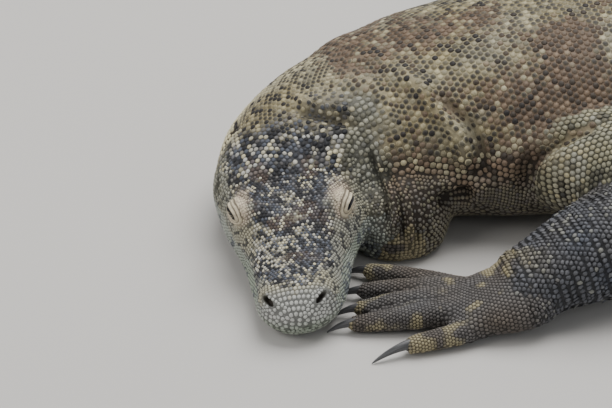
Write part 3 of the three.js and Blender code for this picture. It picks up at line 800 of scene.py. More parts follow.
def both_sides(places):
    """The same places on the left and on the right of the head."""
    places = np.asarray(places, float)
    return [places, places * (1, -1, 1)]


print("places of both sides:", [side.tolist() for side in both_sides((10, 5, 0))])

# %% Places on the head
SIDES_OF_HEAD = (("left", 1), ("right", -1))
# The slit and the bare line of the lids are given from the eye's centre; each lid fold by its
# distance from the slit, its width and its height.
LID_RADIUS = 12.7
LID_FACING = (-0.28, 0.86, 0.42)
SLIT = {"ends": [(5.2, 11.3, 3.8), (-1.0, 11.6, 5.6), (-7.2, 9.7, 4.7), (-10.9, 7.0, 0.9)],
        "half": 1.15, "floor": 8.6}
UPPER_LID = (0.25, -0.45, 0.86)
LID_FOLDS = [(3.3, 0.55, -0.8), (6.6, 0.7, -1.0)]
LID_LINE = [(8.0, 9.8, 6.4), (1.0, 10.4, 7.4), (-6.0, 9.0, 6.6), (-11.0, 6.6, 1.0)]
LID_BARE = 7.0
NOSTRIL = {"ends": [(16.4, 23.6, 37.6), (13.0, 20.6, 36.2), (9.2, 17.0, 33.8)],
           "out": (-0.55, 0.5, 0.67), "half": 2.3, "deep": 5.5}
EAR = {"at": (152, 58, 52), "half": (4.2, 9, 6.5), "deep": 6}
# Across the mouth: a rolled upper lip, the parting and the lower lip's own hollow, each by its
# height, its place above the parting and its width.
LIPS = [(1.0, 4.6, 3.0), (-1.7, 0.0, 0.95), (-0.9, -3.0, 2.4)]

# Ridges and grooves of the head: width, height, then places back, left and up.
HEAD_LINES = [
    (5.0, 1.4, [(26, 27, 42), (45, 29, 48), (66, 31, 54), (84, 33, 61)]),
    (5.5, -1.6, [(36, 36, 32), (58, 39, 34), (78, 42, 40)]),
    (3.2, 1.2, [(88, 37, 64), (98, 36, 70), (110, 38, 72), (122, 42, 71)]),
    (6.0, 3.0, [(84, 29, 62), (96, 26, 68), (110, 27, 72), (126, 34, 74)]),
    (5.5, 1.6, [(112, 42, 72), (130, 48, 80), (150, 51, 90), (164, 47, 97)]),
    (3.6, -3.4, [(128, 54, 66), (136, 55, 76), (144, 54, 85), (152, 55, 91)]),
    (2.0, -1.2, [(88, 47, 44), (97, 52, 45), (108, 53, 47), (118, 52, 52)]),
    (2.2, 0.9, [(92, 50, 49), (100, 53, 50), (112, 54, 52)]),
    (1.6, -1.4, [(82, 37, 49), (88, 42, 50), (92, 45, 54)]),
    (1.8, 1.0, [(79, 38, 52), (84, 43, 47), (92, 48, 41)]),
    (4.0, -1.2, [(128, 66, 20), (140, 68, 34), (146, 66, 50)]),
]


def arch(share):
    """0 at both ends of a curve and 1 at its middle, as half an ellipse."""
    return np.sqrt(np.clip(1 - (2 * share - 1) ** 2, 0, 1))


def eye_moves(here, side_name, side):
    """Lays the skin on the lid's ball and sinks it below the eye along the slit. Gives the
    corners, then masks of the slit's painted shade, of the lid and of its creases' painted shade."""
    v = here - np.array(EYE[side_name], float)
    r = np.linalg.norm(v, axis=-1)
    d = v / np.maximum(r, 1e-6)[:, None]
    out = np.array(LID_FACING) * (1, side, 1)
    turned = np.degrees(np.arccos(np.clip(d @ (out / np.linalg.norm(out)), -1, 1)))
    on_ball = (1 - smooth((turned - 50) / 58)) * (1 - smooth((r - 14.0) / 12))
    slit = curve_through(np.array(SLIT["ends"]) * (1, side, 1), 15)
    slit /= np.linalg.norm(slit, axis=-1, keepdims=True)
    _, far, share = near_path(d, slit)
    from_edge = far * LID_RADIUS - SLIT["half"] * arch(share)
    below = 1 - smooth((from_edge + 0.25) / 0.5)
    behind_middle = slit[9]
    above_slit = (d - behind_middle) @ (np.array(UPPER_LID) * (1, side, 1))
    rim = 0.6 * hump(from_edge, 0.8, 0.6)
    crease = sum(deep * hump(from_edge, at, wide) for at, wide, deep in LID_FOLDS)
    crease = crease * np.where(above_slit > 0, 1.0, 0.6)
    lid = LID_RADIUS + 0.5 * smooth(above_slit / 0.1) + rim + crease
    target = lid + below * (SLIT["floor"] - lid)
    moved = here + (on_ball * (target - r))[:, None] * d
    # Painted shade: this mask colours the skin along the slit's edge black, so the slit reads as a dark
    # gap.
    dark = (1 - smooth((from_edge - 0.45) / 0.35)) * (on_ball > 0.3)
    return moved, dark, on_ball, smooth(-crease / 0.6) * on_ball


def nostril_moves(here, side):
    """A pit along a short curve, with a rim round it, pushed along the way out of the head."""
    path = curve_through(np.array(NOSTRIL["ends"]) * (1, side, 1), 11)
    _, far, share = near_path(here, path)
    from_edge = far - NOSTRIL["half"] * (0.35 + 0.65 * arch(share))
    pit = 1 - smooth((from_edge + 0.5) / 1.0)
    rim = hump(from_edge, 1.3, 1.1)
    out = np.array(NOSTRIL["out"]) * (1, side, 1)
    # The pit's mask is returned as well; it lays painted shade in the nostril.
    return here + (rim - NOSTRIL["deep"] * pit)[:, None] * out, pit


def mouth_height(back_by):
    """Height of the parting of the lips: straight from the front to the corner of the mouth."""
    share = np.clip(back_by / MOUTH["length"], 0, 1)
    return MOUTH["front"] + (MOUTH["back"] - MOUTH["front"]) * share


def lid_distance(here, side_name, side):
    """How far each corner is from the bare line of one eye's lids."""
    line = np.array(EYE[side_name], float) + np.array(LID_LINE) * (1, side, 1)
    return near_path(here, curve_through(line, 12))[1]


print("lines on each side of the head:", len(HEAD_LINES))

# %% Cut the fine places again
# Two rounds: reach round each eye and each nostril, and whether the mouth is cut as well.
CUTS = [(15.0, 10.0, True), (12.168, 8.358, False)]
if FINE == 1:
    for eye_reach, nose_reach, with_mouth in CUTS:
        here = head_coords(points_of(skin_mesh))
        over = here[:, 2] - mouth_height(here[:, 0])
        fine = (np.abs(over) < 3.2) & (here[:, 0] < 120) & with_mouth
        for side_name, side in SIDES_OF_HEAD:
            eye_at = np.array(EYE[side_name]) + (0, 5 * side, 0)
            nose_at = np.array(NOSTRIL["ends"][1]) * (1, side, 1)
            fine |= np.linalg.norm(here - eye_at, axis=-1) < eye_reach
            fine |= np.linalg.norm(here - nose_at, axis=-1) < nose_reach
        cut_faces(skin_mesh, fine)
print("finest:", len(skin_mesh.vertices), "corners,", len(skin_mesh.polygons), "faces")

# %% Shape the head
points = points_of(skin_mesh)
here = head_coords(points)
outwards = head_coords(points + normals_of(skin_mesh)) - here
on_head = 1 - smooth((here[:, 0] - 168) / 20)
push = np.zeros(len(points))
for width, height, places in HEAD_LINES:
    for side_places in both_sides(places):
        push += height * line_profile(here, side_places, width)
corner = here[:, 0] / MOUTH["length"]
over = here[:, 2] - mouth_height(here[:, 0])
in_mouth = smooth((1.0 - corner) / 0.06) * smooth((64 - np.abs(here[:, 1] - 2)) / 5)
push += in_mouth * sum(height * hump(over, at, wide) for height, at, wide in LIPS)
ear_share = sum(bell(here, at, np.array(EAR["half"]) * 0.62) for at in both_sides(EAR["at"]))
push -= EAR["deep"] * smooth(ear_share * 1.5 - 0.2)
here = here + (push * on_head)[:, None] * outwards
# These masks place painted shade on the skin: black in the eye slits, dark in the nostrils and in the
# creases of the lids. The lid mask gives the lids' own pale colour.
slit_shade_mask, pit_shade_mask, lid_mask, crease_shade_mask = 0, 0, 0, 0
for side_name, side in SIDES_OF_HEAD:
    here, slit_shade_part, lid_part, crease_shade_part = eye_moves(here, side_name, side)
    here, pit_shade_part = nostril_moves(here, side)
    slit_shade_mask, pit_shade_mask = slit_shade_mask + slit_shade_part, pit_shade_mask + pit_shade_part
    lid_mask, crease_shade_mask = lid_mask + lid_part, crease_shade_mask + crease_shade_part
pairs = edge_pairs(skin_mesh)
for side_name, side in SIDES_OF_HEAD:
    from_lid = lid_distance(here, side_name, side)
    round_lid = smooth((from_lid - LID_BARE + 0.5) / 3) * (1 - smooth((from_lid - 15) / 4))
    here = relax(here, pairs, 0.6 * round_lid, 50)
shaped = above_floor(head_place(here))
moving = (np.abs(here - head_coords(points)) > 1e-4).any(1)
points = np.where(moving[:, None], shaped, points)
set_points(skin_mesh, points)
print("head shaped, corners moved:", int(moving.sum()))

# %% [markdown]
# Nothing on an animal repeats exactly. Value noise gives slow, smooth unevenness from a fixed
# recipe, so it comes out the same every time. `body_place` finds where along the animal a
# point lies, by looking for the nearest spot of the body's line.

# %% Noise and the place along the body


def hashed(cells, seed):
    """A fixed pseudo-random number from 0 to 1 for each whole-numbered cell."""
    n = (cells[..., 0] * 73856093) ^ (cells[..., 1] * 19349663) ^ (cells[..., 2] * 83492791)
    n = (n ^ (seed * 2654435761)) & 0xFFFFFFFF
    n = ((n ^ (n >> 15)) * 2246822519) & 0xFFFFFFFF
    n = ((n ^ (n >> 13)) * 3266489917) & 0xFFFFFFFF
    return ((n ^ (n >> 16)) & 0xFFFFFF) / 16777216


def noise(points, size, seed):
    """Value noise: the cell corners' random numbers, mixed by smooth steps; about 0 to 1."""
    place = np.asarray(points, float) / size + 1000
    cell = np.floor(place).astype(np.int64)
    f = smooth(place - cell)
    total = 0
    for corner in np.ndindex(2, 2, 2):
        share = np.where(corner, f, 1 - f).prod(-1)
        total = total + share * hashed(cell + corner, seed)
    return total


def body_place(points):
    """Nearest place on the body's line: first of every 20 mm of it, then of every 2 mm there."""
    coarse = np.arange(100, LENGTH, 20)
    far = ((points[:, None, :2] - LINE[coarse]) ** 2).sum(-1)
    best = coarse[far.argmin(1)]
    steps = best[:, None] + np.arange(-12, 13, 2)
    steps = np.clip(steps, 100, LENGTH)
    far = ((points[:, None, :2] - LINE[steps]) ** 2).sum(-1)
    return steps[np.arange(len(points)), far.argmin(1)].astype(float)


print("noise of four points:", np.round(noise(np.eye(4, 3) * 7, 10, 1), 2))

# %% [markdown]
# ## Folds of loose hide
# A komodo dragon's skin is too big for it. It hangs in a fold before the shoulder and in pleats
# at the throat, and creases where a limb bends. Each fold is a curve laid over the body, with
# a height and a width: corners near it move out or in along the skin's own direction. A
# negative height is a crease, and a pair of the two side by side makes a fold that overhangs.

# %% Folds of the neck, shoulders and limbs
# Width, height, then places X, Y, Z on the skin.
FOLDS = [
    # The hanging fold before the left shoulder, its shadow behind and below.
    (5.5, 7.0, [(138, 18, 130), (119, 50, 120), (106, 73, 107), (98, 86, 94), (95, 94, 78),
                (97, 98, 62)]),
    (4.0, -8.0, [(118, 48, 122), (100, 72, 110), (86, 86, 96), (82, 94, 80), (82, 97, 64),
                 (86, 98, 52)]),
    (4.2, -10.0, [(120, 96, 47), (109, 98, 46), (98, 98, 46), (88, 99, 47)]),
    (5.0, 5.5, [(124, 94, 60), (112, 96, 57), (101, 98, 56)]),
    (4.5, 3.0, [(80, 98, 64), (84, 103, 46), (92, 106, 28)]),
    # Pleats where the cheek meets the throat pouch.
    (2.8, -8.0, [(168, 70, 92), (165, 79, 76), (162, 87, 64), (161, 97, 57), (163, 107, 45),
                 (167, 111, 26)]),
    (2.8, 4.5, [(163, 75, 84), (159, 84, 70), (156, 98, 59), (158, 109, 44), (161, 113, 26)]),
    (2.6, -7.0, [(159, 77, 82), (155, 87, 66), (152, 102, 55), (152, 113, 38), (154, 116, 20)]),
    (2.4, 3.0, [(152, 88, 66), (147, 103, 55), (147, 115, 36), (148, 117, 18)]),
    (2.2, -4.0, [(147, 92, 62), (142, 105, 52), (141, 116, 34), (142, 118, 16)]),
    (2.2, -3.4, [(138, 94, 58), (133, 106, 48), (131, 115, 32), (132, 116, 16)]),
    (2.2, -3.0, [(130, 95, 55), (124, 104, 44), (122, 111, 28)]),
    # The crease behind the skull and two weaker ones beyond it.
    (3.0, -6.5, [(218, 18, 101), (205, 34, 103), (192, 45, 103), (180, 53, 101), (172, 62, 96)]),
    (3.6, 3.2, [(212, 12, 105), (199, 27, 108), (186, 38, 108), (173, 48, 106)]),
    (3.5, -2.0, [(196, 6, 115), (182, 22, 116), (168, 34, 115), (157, 46, 110), (152, 60, 100)]),
    (4.5, -2.2, [(178, -14, 124), (163, 4, 126), (150, 20, 124), (140, 36, 118)]),
    # The same folds, plainer, on the right side of the neck.
    (5.0, -4.0, [(250, -10, 82), (262, -4, 64), (270, 6, 44), (270, 16, 24)]),
    (6.0, 3.5, [(238, -30, 96), (254, -30, 70), (262, -26, 42), (262, -18, 20)]),
    (5.0, -3.5, [(222, -48, 104), (236, -54, 78), (242, -56, 48), (240, -52, 22)]),
    (7.0, 4.0, [(120, -86, 130), (130, -106, 108), (134, -116, 78), (128, -118, 44)]),
    (5.5, -4.5, [(104, -92, 130), (112, -114, 106), (114, -124, 74), (108, -124, 42)]),
    # Where the upper arms leave the trunk.
    (4.5, -9.0, [(52, 112, 38), (54, 116, 58), (50, 117, 78), (38, 121, 94), (24, 125, 104), (6, 127, 112),
                 (-20, 124, 122)]),
    (6.0, 5.0, [(66, 108, 62), (62, 110, 82), (48, 112, 100), (30, 114, 114), (8, 114, 124)]),
    (5.0, -3.0, [(-30, 128, 112), (-52, 126, 100), (-70, 122, 82)]),
    (5.0, -5.0, [(36, -112, 46), (38, -116, 72), (28, -117, 98), (6, -115, 112), (-18, -112, 120)]),
    (5.0, -4.0, [(-40, -128, 108), (-62, -128, 92), (-76, -124, 70)]),
    # Long folds of the flanks, from armpit to groin.
    (9.0, -5.0, [(-70, 124, 70), (-160, 134, 64), (-270, 139, 60), (-380, 138, 62), (-470, 128, 66)]),
    (12.0, 4.0, [(-90, 128, 46), (-180, 138, 40), (-280, 144, 38), (-390, 140, 40)]),
    (9.0, -5.0, [(-90, -122, 70), (-190, -124, 64), (-300, -124, 60), (-420, -120, 62), (-520, -108, 66)]),
    (12.0, 4.0, [(-110, -124, 46), (-200, -128, 40), (-310, -128, 38), (-430, -122, 40)]),
    # Groins and backs of the knees.
    (6.0, -5.0, [(-470, 118, 60), (-488, 92, 88), (-514, 72, 106), (-545, 58, 116)]),
    (6.0, -5.0, [(-628, 70, 60), (-622, 52, 88), (-604, 40, 106)]),
    (6.0, -5.0, [(-530, -110, 62), (-545, -88, 92), (-566, -74, 108)]),
    (6.0, -5.0, [(-655, -100, 60), (-650, -84, 88), (-630, -74, 104)]),
]

points, normals = points_of(skin_mesh), normals_of(skin_mesh)
push = np.zeros(len(points))
for width, height, places in FOLDS:
    push += height * line_profile(points, places, width)
points = points + push[:, None] * normals
print("folds:", len(FOLDS), "largest move:", round(float(np.abs(push).max()), 1), "mm")

# %% [markdown]
# Between the folds, loose hide still swells a little, slowly and without a pattern, which noise
# gives. The forearms are different: there the rows of scales stand in pairs, with a crease round
# the arm between one pair and the next. A bump map could draw that, but a modelled crease holds
# real shadow and shows in the outline. So the rows have to be known before the scales are made.

# %% Slow swells
# Start and end on the body's line, size of the swells and their height.
RIPPLES = {"neck": (150, 330, 26, 1.3), "trunk": (330, 980, 74, 2.0), "tail": (980, 2200, 40, 0.5)}

s = body_place(points)
for low, high, size, height in RIPPLES.values():
    part_of = smooth((s - low) / 40) * smooth((high - s) / 40)
    swell = noise(points * (1, 1, 0.7), size, 21) - 0.5
    points = points + (part_of * height * 2 * swell)[:, None] * normals
print("swells up to", max(height for *_, height in RIPPLES.values()), "mm")

# %% Creases round the forearms
# Start and end of each forearm's banded stretch, as shares of its length.
BANDED = {"forearm_left": (0.22, 1.0), "forearm_right": (0.4, 1.0)}
BAND_CREASE = 1.8
LIMB_SPACING = {"upper_arm": 4.9, "forearm": 4.3, "thigh": 5.4, "shin": 4.6}
PALM_SPACING, DIGIT_SPACING = 3.4, 2.9
# Scales sit as on a honeycomb, where rows are this much closer than the scales in a row.
ROW_STEP = 0.866


def line_length(line):
    """The sum of the lengths of a polyline's legs."""
    return np.linalg.norm(np.diff(line, axis=0), axis=-1).sum()


def limb_rows(part_name):
    """Shares along a limb or digit where its rows of scales stand, and their spacing. On a
    banded forearm the rows move together in pairs, so that a crease is free between pairs."""
    kind_name = part_name.rsplit("_", 1)[0]
    row_pitch = DIGIT_SPACING if "digit" in part_name else LIMB_SPACING.get(kind_name, PALM_SPACING)
    length = line_length(PARTS[part_name][0](np.linspace(0, 1, 60), np.zeros(60)))
    rows = np.linspace(0.01, 0.995, max(int(length / (row_pitch * ROW_STEP)), 3))
    if part_name in BANDED:
        together = np.where(np.arange(len(rows)) % 2 == 0, 0.06, -0.06) * (rows[1] - rows[0])
        rows = np.clip(rows + together, 0.005, 0.995)
    return rows, row_pitch


for limb_name, (low, high) in BANDED.items():
    t = np.linspace(0, 1, 80)
    middle_line = np.stack([column(LIMBS[limb_name], k, t) for k in (1, 2, 3)], -1)
    box = np.array(LIMBS[limb_name])[:, 1:4]
    close = ((points > box.min(0) - 60) & (points < box.max(0) + 60)).all(1)
    _, far, share = near_path(points[close], middle_line)
    inside = smooth((share - low) / 0.1) * (far < 48) * smooth((high - share) / 0.04 + 0.2)
    rows, _ = limb_rows(limb_name)
    pair_ends, pair_starts = rows[1:-1:2], rows[2::2]
    creases = (pair_ends + pair_starts[:len(pair_ends)]) / 2
    to_crease = np.abs(share[:, None] - creases).min(1) * line_length(middle_line)
    crease = hump(to_crease, 0.0, 1.0) - 0.3
    points[close] -= (inside * BAND_CREASE * crease)[:, None] * normals[close]
    print(limb_name, "creases:", len(creases))
set_points(skin_mesh, above_floor(points))

# %% [markdown]
# ## Where the scales grow
# Scales could be scattered at random, but a lizard's lie in rows round the body, each row
# shifted half a step from the next. So every part gets rings of roots at the right spacing,
# which are dropped onto the skin. Roots that come too close, on the inside of a bend or where a
# leg meets the trunk, are thinned out, and bare spots are filled from the skin's own corners.

# %% Neighbours


def count_up(numbers):
    """0, 1, 2 and so on as many times as each number says, one run after the other."""
    return np.arange(numbers.sum()) - np.repeat(np.cumsum(numbers) - numbers, numbers)


def near_pairs(points, reach):
    """All pairs i, j closer than reach, found by sorting the points into cells of that size."""
    cell = np.floor(points / reach).astype(np.int64)
    cell -= cell.min(0) - 1
    size = cell.max(0) + 2
    key = (cell[:, 0] * size[1] + cell[:, 1]) * size[2] + cell[:, 2]
    order = np.argsort(key, kind="stable")
    ordered = key[order]
    found = []
    for step in np.ndindex(3, 3, 3):
        want = key + ((step[0] - 1) * size[1] + step[1] - 1) * size[2] + step[2] - 1
        low = np.searchsorted(ordered, want, "left")
        number = np.searchsorted(ordered, want, "right") - low
        i = np.repeat(np.arange(len(points)), number)
        within = count_up(number)
        j = order[np.repeat(low, number) + within]
        far = ((points[i] - points[j]) ** 2).sum(-1)
        good = (far < reach**2) & (i != j)
        found.append(np.stack([i[good], j[good]]))
    return np.concatenate(found, 1)


def thin_out(points, room):
    """Keeps a point if no earlier kept one is nearer than the mean of the two rooms."""
    i, j = near_pairs(points, room.max())
    close = np.linalg.norm(points[i] - points[j], axis=-1) < (room[i] + room[j]) / 2
    first, second = i[close & (i < j)], j[close & (i < j)]
    state = np.zeros(len(points), int)
    while (state == 0).any():
        open_pair = (state[first] == 0) & (state[second] == 0)
        first, second = first[open_pair], second[open_pair]
        blocked = np.zeros(len(points), bool)
        blocked[second] = True
        state[(state == 0) & ~blocked] = 1
        state[second[state[first] == 1]] = -1
    return state == 1


print("runs of 2, 0 and 3:", count_up(np.array([2, 0, 3])).tolist())

# %% Rings of roots
# Place on the body's line, or q on the head, and the spacing of scales there.
SPACING = np.array([(95, 3.9), (160, 4.7), (230, 5.3), (420, 5.8), (700, 6.3), (950, 6.3),
                    (1250, 5.9), (1600, 5.2), (1950, 4.2), (2200, 3.0), (2300, 2.0)])
HEAD_SPACING = np.array([(0.0, 3.7), (0.25, 3.5), (0.36, 2.75), (0.7, 2.65), (0.85, 2.9),
                         (1.02, 3.8)])
# The neck's sharp bend opens rows on its outer side, so there are more of them there.
BEND_ENDS, BEND_ROWS = (95, 235), 1.7


def ring_roots(surface, rows, spacing):
    """On each row, roots an equal arc apart, starting at the top; odd rows start half a step on."""
    around = np.linspace(0, 2 * np.pi, 241) + np.pi / 2
    t, p = np.meshgrid(rows, around, indexing="ij")
    ring = surface(t, p)
    arc = np.concatenate([np.zeros((len(rows), 1)),
                          np.cumsum(np.linalg.norm(np.diff(ring, axis=1), axis=-1), 1)], 1)
    number = np.maximum(np.round(arc[:, -1] / spacing).astype(int), 3)
    row = np.repeat(np.arange(len(rows)), number)
    where = (count_up(number) + 0.5 * (row % 2)) / number[row] * arc[row, -1]
    apart = arc.max() * 2
    p = np.interp(where + row * apart, (arc + np.arange(len(rows))[:, None] * apart).ravel(),
                  np.tile(around, len(rows)))
    return rows[row], p, np.asarray(spacing)[row]


def row_places(low, high, step_at, count=2000):
    """Places from low to high whose gaps follow a spacing: the inverse of the sum of 1 / step."""
    fine = np.linspace(low, high, count)
    steps = step_at(fine)
    total = np.concatenate([[0], np.cumsum((fine[1] - fine[0]) * 2 / (steps[1:] + steps[:-1]))])
    return np.interp(np.arange(0.5, total[-1]), total, fine)


def body_step(s):
    """From one row of the body to the next: ROW_STEP of the spacing, less in the neck's bend."""
    bent = smooth((s - BEND_ENDS[0]) / 20) * smooth((BEND_ENDS[1] - s) / 20)
    return np.interp(s, *SPACING.T) * ROW_STEP / (1 + (BEND_ROWS - 1) * bent)


THROAT_ROWS, THROAT_SPACING, THROAT_TOP = (110, 350), 3.3, 60


def throat_step(s):
    """From row to row on the throat and chest, finer than on the back and the same all along."""
    return np.full(len(s), THROAT_SPACING * ROW_STEP)


def in_throat(places, s):
    """True on the low, fine-scaled hide of throat and chest, with a wavy edge."""
    edge = THROAT_TOP + 22 * (noise(places, 30, 9) - 0.5) - 14 * smooth((s - 300) / 50)
    return (places[:, 2] < edge) & (s > THROAT_ROWS[0]) & (s < THROAT_ROWS[1])


def head_step(q):
    """From row to row on the head in q: ROW_STEP of the spacing over the slope 2 HEAD_LENGTH q."""
    return np.interp(q, *HEAD_SPACING.T) * ROW_STEP / np.maximum(2 * HEAD_LENGTH * q, 55)


class Roots:
    """Lists that grow part by part and are joined at the end."""

    def __init__(self):
        """Starts with nothing."""
        self.place, self.lie, self.pitch, self.part, self.uv = [], [], [], [], []

    def add(self, number, surface, t, p, pitch, step, t_range):
        """Roots at t, p on one part; a scale lies along the surface's change with t."""
        after, before = np.minimum(t + step, t_range[1]), np.maximum(t - step, t_range[0])
        ahead = surface(after, p) - surface(before, p)
        self.place.append(surface(t, p))
        self.lie.append(ahead / np.maximum(np.linalg.norm(ahead, axis=-1, keepdims=True), 1e-9))
        self.pitch.append(pitch)
        self.part.append(np.full(len(t), number))
        u = (t - t_range[0]) / (t_range[1] - t_range[0])
        self.uv.append(np.stack([u, (p / (2 * np.pi)) % 1], -1))


PART_NAMES = list(PARTS)
HEAD_PART, BODY_PART = PART_NAMES.index("head"), PART_NAMES.index("body")
roots = Roots()
for number, (part_name, (surface, _, _)) in enumerate(PARTS.items()):
    if part_name == "pouch":
        continue
    if part_name == "body":
        rows = row_places(100, 2299, body_step)
        spacing, step, ends = np.interp(rows, *SPACING.T), 2.0, (95, 2300)
    elif part_name == "head":
        rows = row_places(0.05, 1.0, head_step)
        spacing, step, ends = np.interp(rows, *HEAD_SPACING.T), 0.01, (0.0, 1.02)
    else:
        rows, row_pitch = limb_rows(part_name)
        spacing, step, ends = np.full(len(rows), row_pitch), 0.02, (0.0, 1.0)
    t, p, pitch = ring_roots(surface, rows, spacing)
    if part_name == "body":
        fine_rows = row_places(*THROAT_ROWS, throat_step)
        finer = ring_roots(surface, fine_rows, np.full(len(fine_rows), THROAT_SPACING))
        dropped, added = in_throat(surface(t, p), t), in_throat(surface(*finer[:2]), finer[0])
        t, p, pitch = (np.concatenate([old[~dropped], new[added]])
                       for old, new in zip((t, p, pitch), finer))
    roots.add(number, surface, t, p, pitch, step, ends)
place, lie = np.concatenate(roots.place), np.concatenate(roots.lie)
pitch, part = np.concatenate(roots.pitch), np.concatenate(roots.part)
root_uv = np.concatenate(roots.uv)
print("roots on the rings:", len(place))

# %% [markdown]
# The roots were worked out on the plain part shapes, so each one is moved to the nearest place on
# the finished skin. A search tree finds it; the tree takes one point at a time. Roots that would
# travel too far were inside the body, where parts overlap, and are left out.

# %% Drop the roots onto the skin and thin them
FAR_INSIDE = 17
TAIL_BARE = 9
RING_ROOM, FILL_ROOM, BARE_GAP = 0.74, 0.86, 0.80


def skin_tree(mesh):
    """A search tree over the skin's faces, in millimetres."""
    corners = points_of(mesh)
    faces = [tuple(face.vertices) for face in mesh.polygons]
    return BVHTree.FromPolygons(corners.tolist(), faces)


def snap(tree, points):
    """Each point's nearest place on the skin, the skin's direction there and the distance."""
    hits = [tree.find_nearest(p) for p in points.tolist()]
    return (np.array([h[0] for h in hits]), np.array([h[1] for h in hits]),
            np.array([h[3] for h in hits]))


def flat_on(vectors, normals):
    """The part of each vector that lies in the surface, at length one."""
    flat = vectors - (vectors * normals).sum(-1, keepdims=True) * normals
    return flat / np.maximum(np.linalg.norm(flat, axis=-1, keepdims=True), 1e-9)


def bare_place(points):
    """True on the lids round the slits and in the nostrils, where no scale grows."""
    here = head_coords(points)
    bare = np.linalg.norm(points - tail_end, axis=-1) <= TAIL_BARE
    for side_name, side in SIDES_OF_HEAD:
        out = np.array(NOSTRIL["out"]) * (1, side, 1)
        pit = curve_through(np.array(NOSTRIL["ends"]) * (1, side, 1), 9)
        flat_here, flat_pit = (places - (places @ out)[:, None] * out for places in (here, pit))
        _, from_pit, _ = near_path(flat_here, flat_pit)
        in_pit = (np.abs((here - pit[4]) @ out) < 12) & (from_pit < NOSTRIL["half"] + 0.9)
        bare |= (lid_distance(here, side_name, side) < LID_BARE) | in_pit
    return bare


tail_end = np.append(line_point(LENGTH), 6)
spot, normal, far = snap(skin_tree(skin_mesh), place)
here = head_coords(spot)
on_lid = np.clip(sum(bell(here, np.array(EYE[side_name]) + (0, 6 * side, 3), (11, 8, 8))
                     for side_name, side in SIDES_OF_HEAD), 0, 1)
near_nose = np.clip(sum(bell(here, at, 7) for at in both_sides(NOSTRIL["ends"][1])), 0, 1)
floor_side = smooth((-normal[:, 2] - 0.35) / 0.3)
room = pitch * (1 - 0.42 * smooth(on_lid * 1.6)) * (1 - 0.25 * near_nose) * (1 + 1.0 * floor_side)
good = (far < FAR_INSIDE) & ~((far > 5) & (part == BODY_PART) & (here[:, 0] < 130))
good &= ~bare_place(spot)
# Roots that lay on the skin already come first, then those of the head and of the body, so that
# they win where parts meet.
rank = np.where(part == HEAD_PART, 0, np.where(part == BODY_PART, 1, 2))
order = np.lexsort((np.arange(len(place)), rank, far > 2.5))
order = order[good[order]]
order = order[thin_out(spot[order], room[order] * RING_ROOM)]
lie, pitch, part, root_uv, spot, normal, room = (
    values[order] for values in (lie, pitch, part, root_uv, spot, normal, room))
print("roots on the skin:", len(spot))

# %% Fill bare spots
UV_PER_MM = 1 / 900

corners, corner_normals = points_of(skin_mesh), normals_of(skin_mesh)
# A tree of faces shrunk to points finds the nearest root.
root_tree = BVHTree.FromPolygons(np.repeat(spot, 3, 0).tolist(),
                                 np.arange(3 * len(spot)).reshape(-1, 3).tolist())
nearest = [root_tree.find_nearest(corner)[2:] for corner in corners.tolist()]
owner = np.array([found[0] for found in nearest])
gap = np.array([found[1] for found in nearest])
bare = np.nonzero((gap > room[owner] * BARE_GAP) & ~bare_place(corners))[0]
bare = bare[thin_out(corners[bare], room[owner[bare]] * FILL_ROOM)]
owner = owner[bare]
away = corners[bare] - spot[owner]
cross = np.cross(normal[owner], lie[owner])
aside = np.stack([(away * lie[owner]).sum(-1), (away * cross).sum(-1)], -1)
root_uv = np.concatenate([root_uv, root_uv[owner] + aside * UV_PER_MM])
spot = np.concatenate([spot, corners[bare]])
normal = np.concatenate([normal, corner_normals[bare]])
lie, pitch, room, part = (np.concatenate([values, values[owner]])
                          for values in (lie, pitch, room, part))
lie = flat_on(lie, normal)
print("filled:", len(bare), "scales in all:", len(spot))

# %% [markdown]
# ## Markings and painted light
# On the neck and back of a komodo dragon the pattern is a pale net with dark dots: each scale
# is dark at its middle and pale round it. On the limbs it is the other way round, pale beads on
# dark hide. One function gives four colours at any place, for the hide between the scales and
# for a scale's edge, flank and middle, so skin and scales carry the same markings. It mixes a few
# named pigments by where the place is and by noise of several sizes. The colours also hold
# painted light: the hide between the scales is dark hide darkened further with painted shade, and
# where a scale has no dark dot its edge is painted shade and its middle a painted highlight.

# %% Pigments
PIGMENTS = {
    "cream": (0.66, 0.60, 0.40), "straw": (0.50, 0.43, 0.24), "olive": (0.215, 0.205, 0.135),
    "stone": (0.25, 0.25, 0.215), "sage": (0.27, 0.31, 0.25), "slate": (0.080, 0.089, 0.112),
    "ink": (0.018, 0.019, 0.023), "soil": (0.085, 0.066, 0.050), "lid": (0.66, 0.58, 0.43),
    "pearl": (0.52, 0.52, 0.50), "rust": (0.23, 0.15, 0.105), "flint": (0.115, 0.110, 0.108),
    "blush": (0.46, 0.36, 0.30),
}
PIGMENTS = {name: np.array(colour) for name, colour in PIGMENTS.items()}


def mix(a, b, share):
    """a (1 - share) + b share, for colours or arrays of colours."""
    share = np.clip(np.asarray(share, float), 0, 1)[..., None]
    return a * (1 - share) + b * share


def chance(points, seed):
    """One fixed random number for each place, finer than any scale."""
    return hashed(np.floor(np.asarray(points, float) * 10 + 50000).astype(np.int64), seed)


def other_chance(fixed, seed):
    """A second random number that goes with the first."""
    return hashed(np.floor(fixed * 4096).astype(np.int64)[:, None] * np.array([1, 3, 7]), seed)


def limb_stage(part_numbers, along):
    """-1 on head and body, 0 to 1 down an upper limb, to 2 down a lower one, to 4 on a paw."""
    start = np.full(len(PART_NAMES), -1.0)
    for k, name in enumerate(PART_NAMES):
        if name.startswith(("upper", "thigh")):
            start[k] = 0
        elif name.startswith(("forearm", "shin")):
            start[k] = 1
        elif name in PAWS:
            start[k] = 2
        elif "digit" in name:
            start[k] = 3
    return np.where(start[part_numbers] < 0, -1.0, start[part_numbers] + along)


